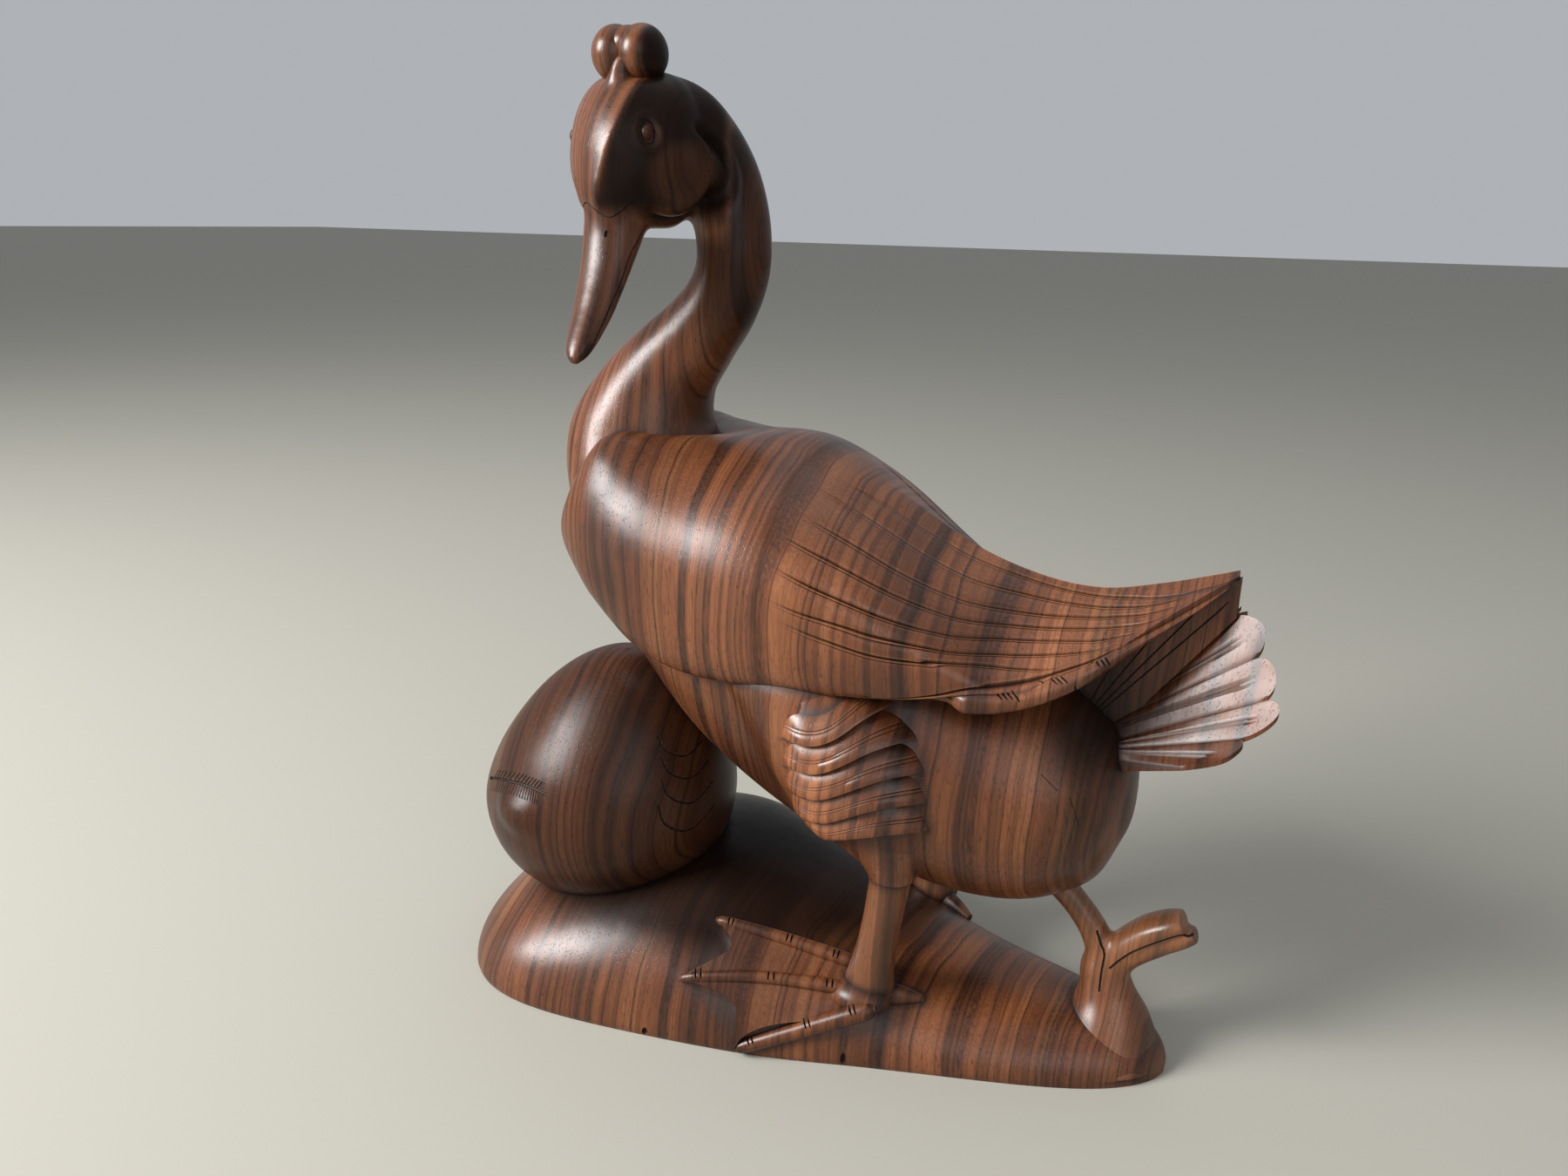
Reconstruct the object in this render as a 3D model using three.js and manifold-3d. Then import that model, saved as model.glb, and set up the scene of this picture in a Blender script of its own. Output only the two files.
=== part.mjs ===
// A goose carved from one block of dark, streaked hardwood. It stands on a domed mound with its
// wings folded into one smooth mantle, looks down over its left shoulder, and has a rounded,
// tucked-up gosling under its breast. A forked branch rises from the mound behind it and props
// its rump.
//
// Millimetres, +Z up. The goose faces -X and its left side faces -Y. The origin lies on the flat
// underside of the mound, below the middle of the carving.
import * as THREE from "three";
import { mergeVertices } from "three/addons/utils/BufferGeometryUtils.js";
import Module from "manifold-3d";

const wasm = await Module();
wasm.setup();

const { PI, sin, cos, abs, sqrt, pow, min, max, sign, round } = Math;
const vec = (x, y, z) => new THREE.Vector3(x, y, z);
const mix = (a, b, t) => a + (b - a) * t;
const clamp = (t) => min(max(t, 0), 1);
const smooth = (t) => clamp(t) * clamp(t) * (3 - 2 * clamp(t));
const degrees = PI / 180;

// Mound

const moundFront = -163;
const moundBack = 158;
// x, half width to the goose's left, half width to its right, height
const moundRows = [
  [-163, 88, 84, 32],
  [-106, 86, 94, 51],
  [-53, 80, 88, 62],
  [2, 70, 70, 50],
  [45, 57, 53, 37],
  [80, 47, 42, 28],
  [115, 38, 34, 25],
  [158, 28, 26, 26],
];
const moundPower = 2.2; // 2 is round, higher is squarer
const moundEndPower = 7;

// Trunk and neck: x, y, z of the path, half width, then the sizes above and below it
const trunkRows = [
  [134, 0, 118, 2, 2, 2],
  [132.5, 0, 118, 14, 14, 17.5],
  [125, 0, 118, 28.5, 28.5, 35],
  [110, 0, 117, 41.5, 41.5, 46.5],
  [84, 0, 117, 50.5, 50.5, 52.5],
  [50, 0, 123, 55, 52, 56],
  [15, 0, 139, 56, 56, 59],
  [-25, 0, 164, 55, 54, 54],
  [-62, 0, 192, 52, 40, 50],
  [-85, 0, 218, 45, 32, 50],
  [-93, 0, 240, 36, 30, 41],
  [-88, 0, 258, 29.5, 25, 33],
  [-78, 0, 274, 22.5, 20, 23.5],
  [-65, 0, 288, 18, 17, 18.5],
  [-54, 0, 301, 16, 16, 16],
  [-48, 0, 316, 15.3, 15.3, 15.3],
  [-48.5, 0, 333, 15.6, 15.6, 15.6],
  [-54, -2, 349, 16, 15.6, 17.5],
  [-61.5, -8, 361, 16.5, 15.6, 19.5],
  [-69, -14, 369, 16, 15, 19.5],
  [-77, -20, 371, 12, 12, 16],
];

// Mantle: both folded wings and the back
const mantleFront = -107;
const mantleBack = 161;
const widestShare = 0.62; // how far down a section its widest line comes
const rimShare = 0.9; // where the rolled rim starts, in lines down the wing
// x, height of the middle, dip beside the neck, widest half width, its height, half width at the
// lower edge, its height, thickness
const mantleRows = [
  [-107, 214, 0, 44, 212, 43, 210, 2],
  [-102, 240, 34, 50, 211, 45, 202, 14],
  [-94.5, 262, 50, 56, 209, 46, 193, 24],
  [-84, 278, 56, 61.5, 206, 49, 182, 34],
  [-62, 264, 22, 67, 204, 55, 167, 40],
  [-40, 254, 5, 69, 202, 58, 161, 40],
  [-10, 250, 0, 70, 199, 60, 161, 38],
  [20, 236, 0, 67, 192, 60, 163, 38],
  [60, 214, 0, 59, 182, 56, 164, 38],
  [88, 205, 0, 51, 173, 50, 165, 36],
  [112, 203, 0, 39, 180, 38, 174, 24],
  [135, 208, 0, 20, 197, 19, 192, 9],
  [161, 216.5, 0, 2, 215, 1.5, 212, 3],
];
// x, how far down a section the rim starts
const rimRows = [
  [-107, 0.9],
  [36, 0.92],
  [63, 0.81],
  [84, 0.63],
  [103, 0.56],
  [121, 0.6],
  [134, 0.7],
  [161, 0.85],
];
const rimSwell = 1.4;
// Feather grooves on each wing: line down the wing, x where it starts
const grooves = [
  [0.1, 8],
  [0.19, 4],
  [0.29, 2],
  [0.39, -4],
  [0.49, -2],
  [0.59, -1],
  [0.68, 4],
];
const grooveDepth = 1.3;
const grooveHalf = 0.013; // half width, in lines down the wing
const grooveRun = 26; // how far a groove takes to reach its depth

// Head, in its own directions: ahead, to the goose's right, and up from its middle
const headMiddle = vec(-77, -24, 361);
const headTurn = 92 * degrees; // from straight ahead towards the goose's left
const ahead = vec(-cos(headTurn), -sin(headTurn), 0);
const aside = vec(-sin(headTurn), cos(headTurn), 0);
// up, reach behind, reach ahead, half width
const headRows = [
  [28.5, 1, 1, 1],
  [27, -15, 8, 12],
  [22, -27, 17, 20],
  [13, -34, 25, 25],
  [2, -36, 30, 27],
  [-9, -33, 31, 27],
  [-19, -26, 31, 23],
  [-26, -20, 30, 17.5],
  [-30, -13, 28, 12.5],
];
// ahead, up, half width, thickness in front of the middle, and behind it
const billRows = [
  [13, -14, 11.5, 15, 10],
  [17.2, -27, 12.3, 12.5, 11],
  [25, -43.7, 10.5, 7.6, 7],
  [34.8, -59.2, 8.6, 5.6, 5.4],
  [41, -67, 7.3, 4.7, 4.5],
  [47.2, -74.2, 5.5, 3.6, 3.5],
  [51, -78.4, 2.4, 1.8, 1.8],
];
const billAside = 1.5; // how far the bill's middle line lies to the goose's right
const eyePlace = [23.5, 13, 4]; // ahead, across, up
const eyeSize = [2.6, 2.8, 4.2];
const crestPlace = [8, -0.5, 33]; // ahead, across, up
const crestLobe = [11.5, 8.3, 10.5]; // half sizes of each lobe: ahead, across, up
const crestSpread = 6.3;
const crestStem = [3.5, 3.2, 11];

// Legs. Thigh: z, x, y, half size along x, half size along y
const thighRows = [
  [84, 48, -44.5, 9, 8.5],
  [91, 46, -44.5, 12, 10],
  [99, 41, -44.5, 20.5, 13.5],
  [107, 36, -44, 28, 18.5],
  [117, 31.5, -43, 32, 22],
  [127, 27, -42, 35.5, 25],
  [137, 23, -41, 37, 26.5],
  [150, 15, -40, 38, 27],
  [164, 3, -38, 35, 26],
  [176, -2, -34, 25, 20],
];
const featherRows = 5;
const featherTop = 156;
const featherPitch = 11.6;
const featherSwell = 2.5;
const featherRise = 14; // how much higher the rows end behind than in front
// Shank: x, y, z, half size along y, half sizes behind and in front
const shankRows = [
  [48, -44, 92, 9, 9.5, 9.5],
  [47.5, -44, 84, 8.6, 9, 9],
  [46, -44, 70, 8, 8.2, 8.2],
  [43.5, -44, 52, 8.2, 8.4, 8.4],
  [41.5, -44, 38, 9.4, 9.8, 9.8],
  [40.5, -43.5, 27, 12, 13, 13],
  [40.5, -43, 18, 14, 15, 15],
];
const ankle = [38, -45];
const toeTips = [
  [-8, -71.5],
  [-34.5, -70.5],
  [-27.5, -50.5],
];
const hindToe = [62, -35];
const webLift = 2.6;
const toeLift = 6;
const footSunk = 5;

// Tail fan, one side: feather line, x, y, z of its tip
const fanTips = [
  [0, 163, 0, 202.5],
  [0.5, 171.5, -6, 197.5],
  [1.5, 178, -14, 183],
  [2.5, 181, -22, 170.5],
  [3.5, 167, -28, 154],
  [4, 155, -29, 147.5],
];
// The same lines where they leave the rump
const fanRoots = [
  [0, 118, -1, 144],
  [1, 118, -6.5, 146.5],
  [2, 118, -9.4, 139.5],
  [3, 118, -11.8, 138],
  [4, 118, -12, 135],
];
const fanFeathers = 4;
const fanThickness = 7; // measured upright, so about half of it across the roof
const fanNotch = 8; // how far the gaps between the tips reach in
const fanShort = 14; // how much less the fan's right half reaches back
// The upright web that ties the mantle's tip to the fan's ridge: x, its foot, its top, half
// thickness
const keelRows = [
  [98, 140, 182, 9],
  [120, 145, 194, 8],
  [140, 170, 205, 6.5],
  [155, 190, 211.5, 4.5],
  [162, 199, 213.5, 2.5],
];

// Gosling: height above its middle, shift along x, half size along x, along y
const goslingMiddle = vec(-101, -15, 87);
const goslingRows = [
  [-57, -2, 4, 4],
  [-54, -2, 24, 24],
  [-44, -2, 42, 41],
  [-28, -1, 54, 53],
  [-8, 0, 58.5, 57.5],
  [14, 2.5, 53.5, 53],
  [36, 5, 41, 40],
  [51, 7, 27, 26],
  [59.5, 8, 12.5, 12.5],
  [61.5, 8, 1, 1],
];
// The cheek over its tucked bill, and the notch along the cheek's upper edge: x, y, z of the
// notch, then its half sizes
const goslingCheek = vec(-112, -55, 84);
const cheekSize = [21, 19.5, 15];
const goslingNotch = [
  [-141, -51, 91, 1.5, 1.5, 1.5],
  [-131, -62, 96, 4, 4, 4],
  [-117, -70, 101.5, 4.5, 4.5, 4.5],
  [-104, -73, 104.5, 3.5, 3.5, 3.5],
  [-95, -75, 106, 1.2, 1.2, 1.2],
];

// Branch: x, y, z, half size along y, half sizes on either side along x
const branchRoot = [
  [131, 0, 3, 26, 25, 25],
  [131, 0, 18, 18, 17, 19],
  [130, 0, 30, 11, 11, 12.5],
  [128, 0, 42, 8.5, 9, 9.5],
  [128, 0, 50, 5, 5, 5],
];
const branchProp = [
  [130, 0, 34, 6, 6, 6],
  [127, 0, 47, 6.5, 6.5, 6.5],
  [121.5, 0, 58, 6, 5.8, 5.8],
  [112, 0, 69, 5.8, 5.6, 5.6],
  [100, 0, 80, 7, 7, 7],
];
const branchBud = [
  [129, 0, 34, 7, 7, 7],
  [134, 0, 48, 8, 7, 7],
  [144, 0, 60, 8.5, 6.5, 6],
  [152, 0, 66, 8.5, 5.5, 5],
  [158, 0, 69, 7, 4.5, 4.5],
];
const branchLip = [
  [131, 0, 36, 6, 6, 6],
  [138, 0, 48, 7, 6, 6],
  [149, 0, 57, 7.5, 5.5, 5.5],
  [158, 0, 62, 6.5, 4.5, 4.5],
  [163, 0, 64.5, 5, 3.2, 3.2],
];

// Curves

// A smooth function through rows of [station, value, value, ...], sorted by station.
function track(rows) {
  const slope = (i, k) => {
    const a = rows[max(i - 1, 0)];
    const b = rows[min(i + 1, rows.length - 1)];
    return (b[k] - a[k]) / (b[0] - a[0]);
  };
  return (s) => {
    let i = 0;
    while (i < rows.length - 2 && s > rows[i + 1][0]) i++;
    const span = rows[i + 1][0] - rows[i][0];
    const t = clamp((s - rows[i][0]) / span);
    const [t2, t3] = [t * t, t * t * t];
    return rows[i].slice(1).map((from, n) => {
      const k = n + 1;
      return (
        (2 * t3 - 3 * t2 + 1) * from +
        (t3 - 2 * t2 + t) * span * slope(i, k) +
        (3 * t2 - 2 * t3) * rows[i + 1][k] +
        (t3 - t2) * span * slope(i + 1, k)
      );
    });
  };
}

// The same rows with their place in the list as the station.
const counted = (rows) => rows.map((row, i) => [i, ...row]);

const even = (count) => Array.from({ length: count + 1 }, (_, i) => i / count);

// count + 1 numbers from 0 to 1, closer together at both ends.
const eased = (count) => even(count).map((t) => (1 - cos(PI * t)) / 2);

// Solids

// A geometry as a manifold solid with its faces pointing out.
function solidOf(geometry) {
  const bare = geometry.clone();
  bare.deleteAttribute("normal");
  bare.deleteAttribute("uv");
  const merged = mergeVertices(bare, 1e-4);
  const vertProperties = merged.attributes.position.array;
  const make = (triVerts) =>
    new wasm.Manifold(new wasm.Mesh({ numProp: 3, vertProperties, triVerts }));
  const triVerts = new Uint32Array(merged.index.array);
  const solid = make(triVerts);
  return solid.volume() > 0 ? solid : make(triVerts.reverse());
}

// One closed solid from rings of points, all with the same count, capped at both ends.
function skin(rings) {
  const count = rings[0].length;
  const position = rings.flat().flatMap((p) => [p.x, p.y, p.z]);
  const index = [];
  for (let r = 0; r + 1 < rings.length; r++) {
    for (let i = 0; i < count; i++) {
      const j = (i + 1) % count;
      const [a, b] = [r * count + i, r * count + j];
      index.push(a, b, b + count, a, b + count, a + count);
    }
  }
  const cap = (ring, offset, flip) => {
    const middle = ring.reduce((sum, p) => sum.add(p), vec(0, 0, 0)).divideScalar(count);
    const centre = position.length / 3;
    position.push(middle.x, middle.y, middle.z);
    for (let i = 0; i < count; i++) {
      const [a, b] = [offset + i, offset + ((i + 1) % count)];
      index.push(centre, flip ? a : b, flip ? b : a);
    }
  };
  cap(rings[0], 0, false);
  cap(rings[rings.length - 1], (rings.length - 1) * count, true);
  return solidOf(
    new THREE.BufferGeometry()
      .setAttribute("position", new THREE.Float32BufferAttribute(position, 3))
      .setIndex(index),
  );
}

// A ring about a centre: side and up are unit vectors, above and below are the half sizes along
// up and against it.
function ring(centre, side, up, half, above, below, count) {
  return Array.from({ length: count }, (_, i) => {
    const a = (2 * PI * i) / count;
    return centre
      .clone()
      .addScaledVector(side, half * cos(a))
      .addScaledVector(up, (sin(a) > 0 ? above : below) * sin(a));
  });
}

// A solid along rows of [x, y, z, half, above, below], its sections square to the path and their
// side vector as near to the given one as that allows.
function tube(rows, lengths, count, sideHint = vec(0, 1, 0)) {
  const at = track(counted(rows));
  const last = rows.length - 1;
  const step = 0.01;
  const point = (s) => vec(...at(s).slice(0, 3));
  return skin(
    even(lengths).map((t) => {
      const s = t * last;
      const tangent = point(min(s + step, last)).sub(point(max(s - step, 0))).normalize();
      const side = sideHint.clone().addScaledVector(tangent, -sideHint.dot(tangent)).normalize();
      const up = tangent.clone().cross(side);
      const [x, y, z, half, above, below] = at(s);
      return ring(vec(x, y, z), side, up, half, above, below, count);
    }),
  );
}

// A closed solid between two sheets of points of the same rows and columns.
function slab(top, bottom) {
  const [rows, columns] = [top.length, top[0].length];
  const position = [...top.flat(), ...bottom.flat()].flatMap((p) => [p.x, p.y, p.z]);
  const under = rows * columns;
  const index = [];
  const quad = (a, b, c, d) => index.push(a, b, c, a, c, d);
  for (let r = 0; r + 1 < rows; r++) {
    for (let c = 0; c + 1 < columns; c++) {
      const a = r * columns + c;
      quad(a, a + 1, a + columns + 1, a + columns);
      quad(under + a, under + a + columns, under + a + columns + 1, under + a + 1);
    }
  }
  const edge = (a, b) => quad(a, under + a, under + b, b);
  for (let c = 0; c + 1 < columns; c++) {
    edge(c, c + 1);
    edge((rows - 1) * columns + c + 1, (rows - 1) * columns + c);
  }
  for (let r = 0; r + 1 < rows; r++) {
    edge((r + 1) * columns, r * columns);
    edge(r * columns + columns - 1, (r + 2) * columns - 1);
  }
  return solidOf(
    new THREE.BufferGeometry()
      .setAttribute("position", new THREE.Float32BufferAttribute(position, 3))
      .setIndex(index),
  );
}

function ball(centre, radii, turn, detail) {
  const geometry = new THREE.SphereGeometry(1, detail, round(0.7 * detail)).rotateX(PI / 2);
  geometry.scale(...radii).rotateZ(turn).translate(centre.x, centre.y, centre.z);
  return solidOf(geometry);
}

const join = (solids) => solids.reduce((a, b) => a.add(b));
const bothSides = (solid) => solid.add(solid.mirror([0, 1, 0]));

// The forms

const moundAt = track(moundRows);
const mantleAt = track(mantleRows);
const rimAt = track(rimRows);
const thighAt = track(thighRows);

// How far the mound's ends draw its width and height in.
function moundEnd(x) {
  const t = abs((2 * x - moundFront - moundBack) / (moundBack - moundFront));
  return sqrt(max(1 - pow(t, moundEndPower), 0));
}

function mound() {
  const [lengths, arcs] = [22, 16];
  const inset = 0.4;
  return skin(
    eased(lengths).map((t) => {
      const x = mix(moundFront + inset, moundBack - inset, t);
      const end = moundEnd(x);
      const [left, right, high] = moundAt(x).map((size) => size * end);
      return even(arcs).map((part) => {
        const a = PI * part;
        const across = sign(cos(a)) * pow(abs(cos(a)), 2 / moundPower);
        return vec(x, (across < 0 ? left : right) * across, high * pow(sin(a), 2 / moundPower));
      });
    }),
  );
}

// The mound's surface above a point in plan, raised by lift along its normal.
function onMound(x, y, lift) {
  const high = (px, py) => {
    const [left, right, top] = moundAt(px).map((size) => size * moundEnd(px));
    const across = min(abs(py) / (py < 0 ? left : right), 0.999);
    return top * pow(1 - pow(across, moundPower), 1 / moundPower);
  };
  const step = 0.5;
  const z = high(x, y);
  const slopeX = (high(x + step, y) - high(x - step, y)) / (2 * step);
  const slopeY = (high(x, y + step) - high(x, y - step)) / (2 * step);
  return vec(x, y, z).addScaledVector(vec(-slopeX, -slopeY, 1).normalize(), lift);
}

// A point of the mantle's section at x on the goose's right, as [y, z]: v is 0 on the ridge,
// rimShare where the rim starts and 1 at the lower edge. Sections are round in front and
// hollow-sided behind.
function mantleSection(x, v) {
  const [ridge, dip, wide, wideZ, low, lowZ] = mantleAt(x);
  const [rim] = rimAt(x);
  const share = v < rimShare ? (v / rimShare) * rim : mix(rim, 1, (v - rimShare) / (1 - rimShare));
  const hollow = smooth((x - 10) / 95);
  if (share < widestShare) {
    const part = share / widestShare;
    const u = mix(sin((part * PI) / 2), part, hollow);
    const high = mix(sqrt(max(1 - u * u, 0)), pow(1 - u, 1.25), hollow);
    return [wide * u, mix(wideZ, ridge, high) - dip * pow(1 - u, 1.6)];
  }
  const a = (((share - widestShare) / (1 - widestShare)) * PI) / 2;
  return [mix(low, wide, cos(a)), mix(wideZ, lowZ, sin(a))];
}

// How far the carving stands out from the section: grooves cut in, the rim swells.
function mantleRelief(x, v) {
  const cut = grooves.reduce((deepest, [line, start]) => {
    const across = max(1 - abs(v - line) / grooveHalf, 0);
    return max(deepest, across * smooth((x - start) / grooveRun) * smooth((158 - x) / 20));
  }, 0);
  const rear = smooth((x - 40) / 40) * smooth((160 - x) / 12);
  const rim = v > rimShare ? sin((PI * (v - rimShare)) / (1 - rimShare)) * rimSwell : 0;
  return rim * rear - cut * grooveDepth;
}

function mantlePoint(x, v) {
  const step = 0.004;
  const [y, z] = mantleSection(x, v);
  const [y0, z0] = mantleSection(x, max(v - step, 0));
  const [y1, z1] = mantleSection(x, min(v + step, 1));
  const long = sqrt((y1 - y0) ** 2 + (z1 - z0) ** 2) || 1;
  const out = mantleRelief(x, v);
  return [y - (out * (z1 - z0)) / long, z + (out * (y1 - y0)) / long];
}

function mantle() {
  const [lengths, under] = [20, 2];
  const grooveLines = grooves.flatMap(([line]) => [line - grooveHalf, line, line + grooveHalf]);
  const lines = [0, 0.05, ...grooveLines, 0.79, rimShare, 0.93, 0.97, 1];
  return skin(
    eased(lengths).map((t) => {
      const x = mix(mantleFront, mantleBack, t);
      const [ridge, dip, , , low, lowZ, thick] = mantleAt(x);
      const outer = lines.map((v) => mantlePoint(x, v));
      const roof = max(ridge - dip - thick, lowZ);
      const inner = even(under).map((w) => {
        const y = (low - min(thick, 0.4 * low)) * (1 - w);
        return [y, mix(lowZ + 0.15 * thick, roof, w)];
      });
      const near = outer.slice().reverse().map(([y, z]) => vec(x, -y, z));
      const far = outer.slice(1).map(([y, z]) => vec(x, y, z));
      const farUnder = inner.map(([y, z]) => vec(x, y, z));
      const nearUnder = inner.slice(0, -1).reverse().map(([y, z]) => vec(x, -y, z));
      return [...near, ...far, ...farUnder, ...nearUnder];
    }),
  );
}

const inHead = (forward, side, up) =>
  headMiddle
    .clone()
    .addScaledVector(ahead, forward)
    .addScaledVector(aside, side)
    .add(vec(0, 0, up));

function headForm() {
  const at = track(counted(headRows));
  const [lengths, count] = [14, 18];
  return skin(
    even(lengths).map((t) => {
      const [up, behind, front, half] = at(t * (headRows.length - 1));
      return Array.from({ length: count }, (_, i) => {
        const a = (2 * PI * i) / count;
        const along = sin(a) > 0 ? front * sin(a) : -behind * sin(a);
        const taper = 1 - 0.22 * max(sin(a), 0) ** 2;
        return inHead(along, half * cos(a) * taper, up);
      });
    }),
  );
}

function bill() {
  const rows = billRows.map(([forward, up, half, above, below]) => {
    const p = inHead(forward, billAside, up);
    return [p.x, p.y, p.z, half, below, above];
  });
  return tube(rows, 10, 12, aside);
}

function crest() {
  const [forward, across, up] = crestPlace;
  const lobe = (side) =>
    ball(inHead(forward, across + side * crestSpread, up), crestLobe, headTurn, 11);
  const stem = ball(inHead(forward + 8, across, up - 6), crestStem, headTurn, 8);
  return join([lobe(-1), lobe(1), stem]);
}

function eyes() {
  const [forward, across, up] = eyePlace;
  return join([-1, 1].map((side) =>
    ball(inHead(forward, across * side, up), eyeSize, headTurn, 8)));
}

// The thigh's sections dip in front and rise behind with its rows of small feathers, each of
// which stands out over the next one down.
function thigh() {
  const count = 16;
  const last = featherTop - featherPitch * featherRows;
  const levels = [[176, 0, 0], [168, 0.3, 0], [160, 0.8, 0]];
  for (let row = 0; row < featherRows; row++) {
    const top = featherTop - featherPitch * row;
    levels.push([top, 1, 0]);
    levels.push([top - 0.45 * featherPitch, 1, 0.7]);
    levels.push([top - 0.92 * featherPitch, 1, 1]);
  }
  levels.push([last, 0.9, 0], [last - 4, 0.4, 0], [last - 8, 0, 0], [84, 0, 0]);
  return skin(
    levels.map(([level, rise, swell]) =>
      Array.from({ length: count }, (_, i) => {
        const a = (2 * PI * i) / count;
        const [x0, , half] = thighAt(level);
        const behind = smooth((x0 + half * cos(a) - 18) / 40);
        const z = level + featherRise * rise * behind;
        const [x, y, alongX, alongY] = thighAt(z);
        const outer = smooth((0.45 - sin(a)) / 0.6) * smooth((x + alongX * cos(a) - 2) / 10);
        const out = swell * featherSwell * outer;
        return vec(x + (alongX + out) * cos(a), y + (alongY + out) * sin(a), z);
      }),
    ),
  );
}

// The near foot: three toes spread forward over the mound with webs between them.
function foot() {
  const toes = toeTips.length - 1;
  const nearToe = 0.16;
  const lines = [];
  for (let toe = 0; toe <= toes; toe++) {
    lines.push(toe - nearToe, toe, toe + nearToe);
    if (toe < toes) lines.push(toe + 0.38, toe + 0.62);
  }
  const reach = [0, 0.2, 0.4, 0.6, 0.8, 1];
  const sheet = (lift) =>
    lines.map((line) => {
      const i = min(max(Math.floor(line), 0), toes - 1);
      const part = line - i;
      const tipX = mix(toeTips[i][0], toeTips[i + 1][0], part);
      const tipY = mix(toeTips[i][1], toeTips[i + 1][1], part);
      const scoop = 1 - 0.28 * pow(abs(sin(PI * line)), 0.8);
      const isToe = line === round(line);
      return reach.map((t) => {
        const x = mix(ankle[0], tipX, t * scoop);
        const y = mix(ankle[1], tipY, t * scoop);
        return onMound(x, y, lift(isToe, t));
      });
    });
  const top = sheet((isToe, t) => (isToe ? mix(toeLift, webLift, t * t) : webLift));
  const bottom = sheet(() => -footSunk);
  const hind = tube(
    [
      [ankle[0] + 4, ankle[1] + 2, onMound(...ankle, 0).z, 5, 6, 6],
      [...onMound(mix(ankle[0], hindToe[0], 0.6), mix(ankle[1], hindToe[1], 0.6), 0), 4, 5, 4],
      [...onMound(...hindToe, -1), 2, 2, 2],
    ],
    5,
    8,
  );
  return slab(top, bottom).add(hind);
}

// The tail: a roof of feathers that fan out from under the mantle, their tips round.
function tail() {
  const tips = track(fanTips);
  const roots = track(fanRoots);
  const perFeather = 4;
  const reach = [0, 0.4, 0.7, 0.9, 1];
  const count = fanFeathers * perFeather;
  const lines = Array.from({ length: 2 * count + 1 }, (_, i) => (i - count) / perFeather);
  const sheet = (half) =>
    reach.map((t) =>
      lines.map((line) => {
        const w = abs(line);
        const [tip, root] = [vec(...tips(w)), vec(...roots(w))];
        const side = line > 0 ? -1 : 1;
        if (side < 0) tip.x -= fanShort * smooth(w);
        const inFeather = w - Math.floor(min(w, fanFeathers - 1e-6));
        const bulge = sqrt(max(1 - (2 * inFeather - 1) ** 2, 0));
        const length = tip.distanceTo(root);
        const notch = w === 0 ? 0 : fanNotch * (1 - bulge);
        const p = root.lerp(tip, (t * (length - notch)) / length);
        const edge = half > 0 ? half * mix(0.55, 1, bulge) : half;
        return vec(p.x, p.y * side, p.z + edge * mix(1, 0.6, t));
      }),
    );
  return slab(sheet(fanThickness / 2), sheet(-fanThickness / 2));
}

function keel() {
  const at = track(keelRows);
  const lengths = 8;
  const sheet = (side) =>
    even(lengths).map((t) => {
      const x = mix(keelRows[0][0], keelRows[keelRows.length - 1][0], t);
      const [low, high, half] = at(x);
      return [low, high].map((z) => vec(x, side * half, z));
    });
  return slab(sheet(-1), sheet(1));
}

function gosling() {
  const at = track(counted(goslingRows));
  const [lengths, count] = [15, 20];
  const egg = skin(
    even(lengths).map((t) => {
      const [up, shift, alongX, alongY] = at(t * (goslingRows.length - 1));
      const centre = goslingMiddle.clone().add(vec(shift, 0, up));
      return ring(centre, vec(1, 0, 0), vec(0, 1, 0), alongX, alongY, alongY, count);
    }),
  );
  return egg
    .add(ball(goslingCheek, cheekSize, 0, 14))
    .subtract(tube(goslingNotch, 8, 8));
}

const branch = () =>
  join([
    tube(branchRoot, 6, 12),
    tube(branchProp, 6, 8),
    tube(branchBud, 6, 8),
    tube(branchLip, 6, 8),
  ]);

function geometryOf(solid) {
  const mesh = solid.getMesh();
  return new THREE.BufferGeometry()
    .setAttribute("position", new THREE.BufferAttribute(mesh.vertProperties, 3))
    .setIndex(new THREE.BufferAttribute(mesh.triVerts, 1));
}

const leg = join([thigh(), tube(shankRows, 8, 10), foot()]);

const smallest = 0.23; // detail finer than this is left where the forms meet
const figure = join([
  mound(),
  tube(trunkRows, 32, 18),
  mantle(),
  headForm(),
  bill(),
  crest(),
  eyes(),
  bothSides(leg),
  tail(),
  keel(),
  gosling(),
  branch(),
]).simplify(smallest);

const goose = new THREE.Group();
const wood = new THREE.MeshStandardMaterial({ color: 0x6b4630, roughness: 0.38, metalness: 0 });
const carving = new THREE.Mesh(geometryOf(figure), wood);
carving.name = "goose_carving";
goose.add(carving);

export default goose;
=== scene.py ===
"""The looks of a goose carved from one block of dark, streaked rosewood.

Lengths are in millimetres until a mesh is made. +Z is up, the goose faces -X and its left side
faces -Y. Every piece stands for a part of the one carved solid.
"""
from __future__ import annotations

import logging
import math
from dataclasses import dataclass
from enum import Enum
from typing import Callable, Sequence

import bpy
import numpy as np
from mathutils import Matrix, Vector
from mathutils.bvhtree import BVHTree

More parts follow.
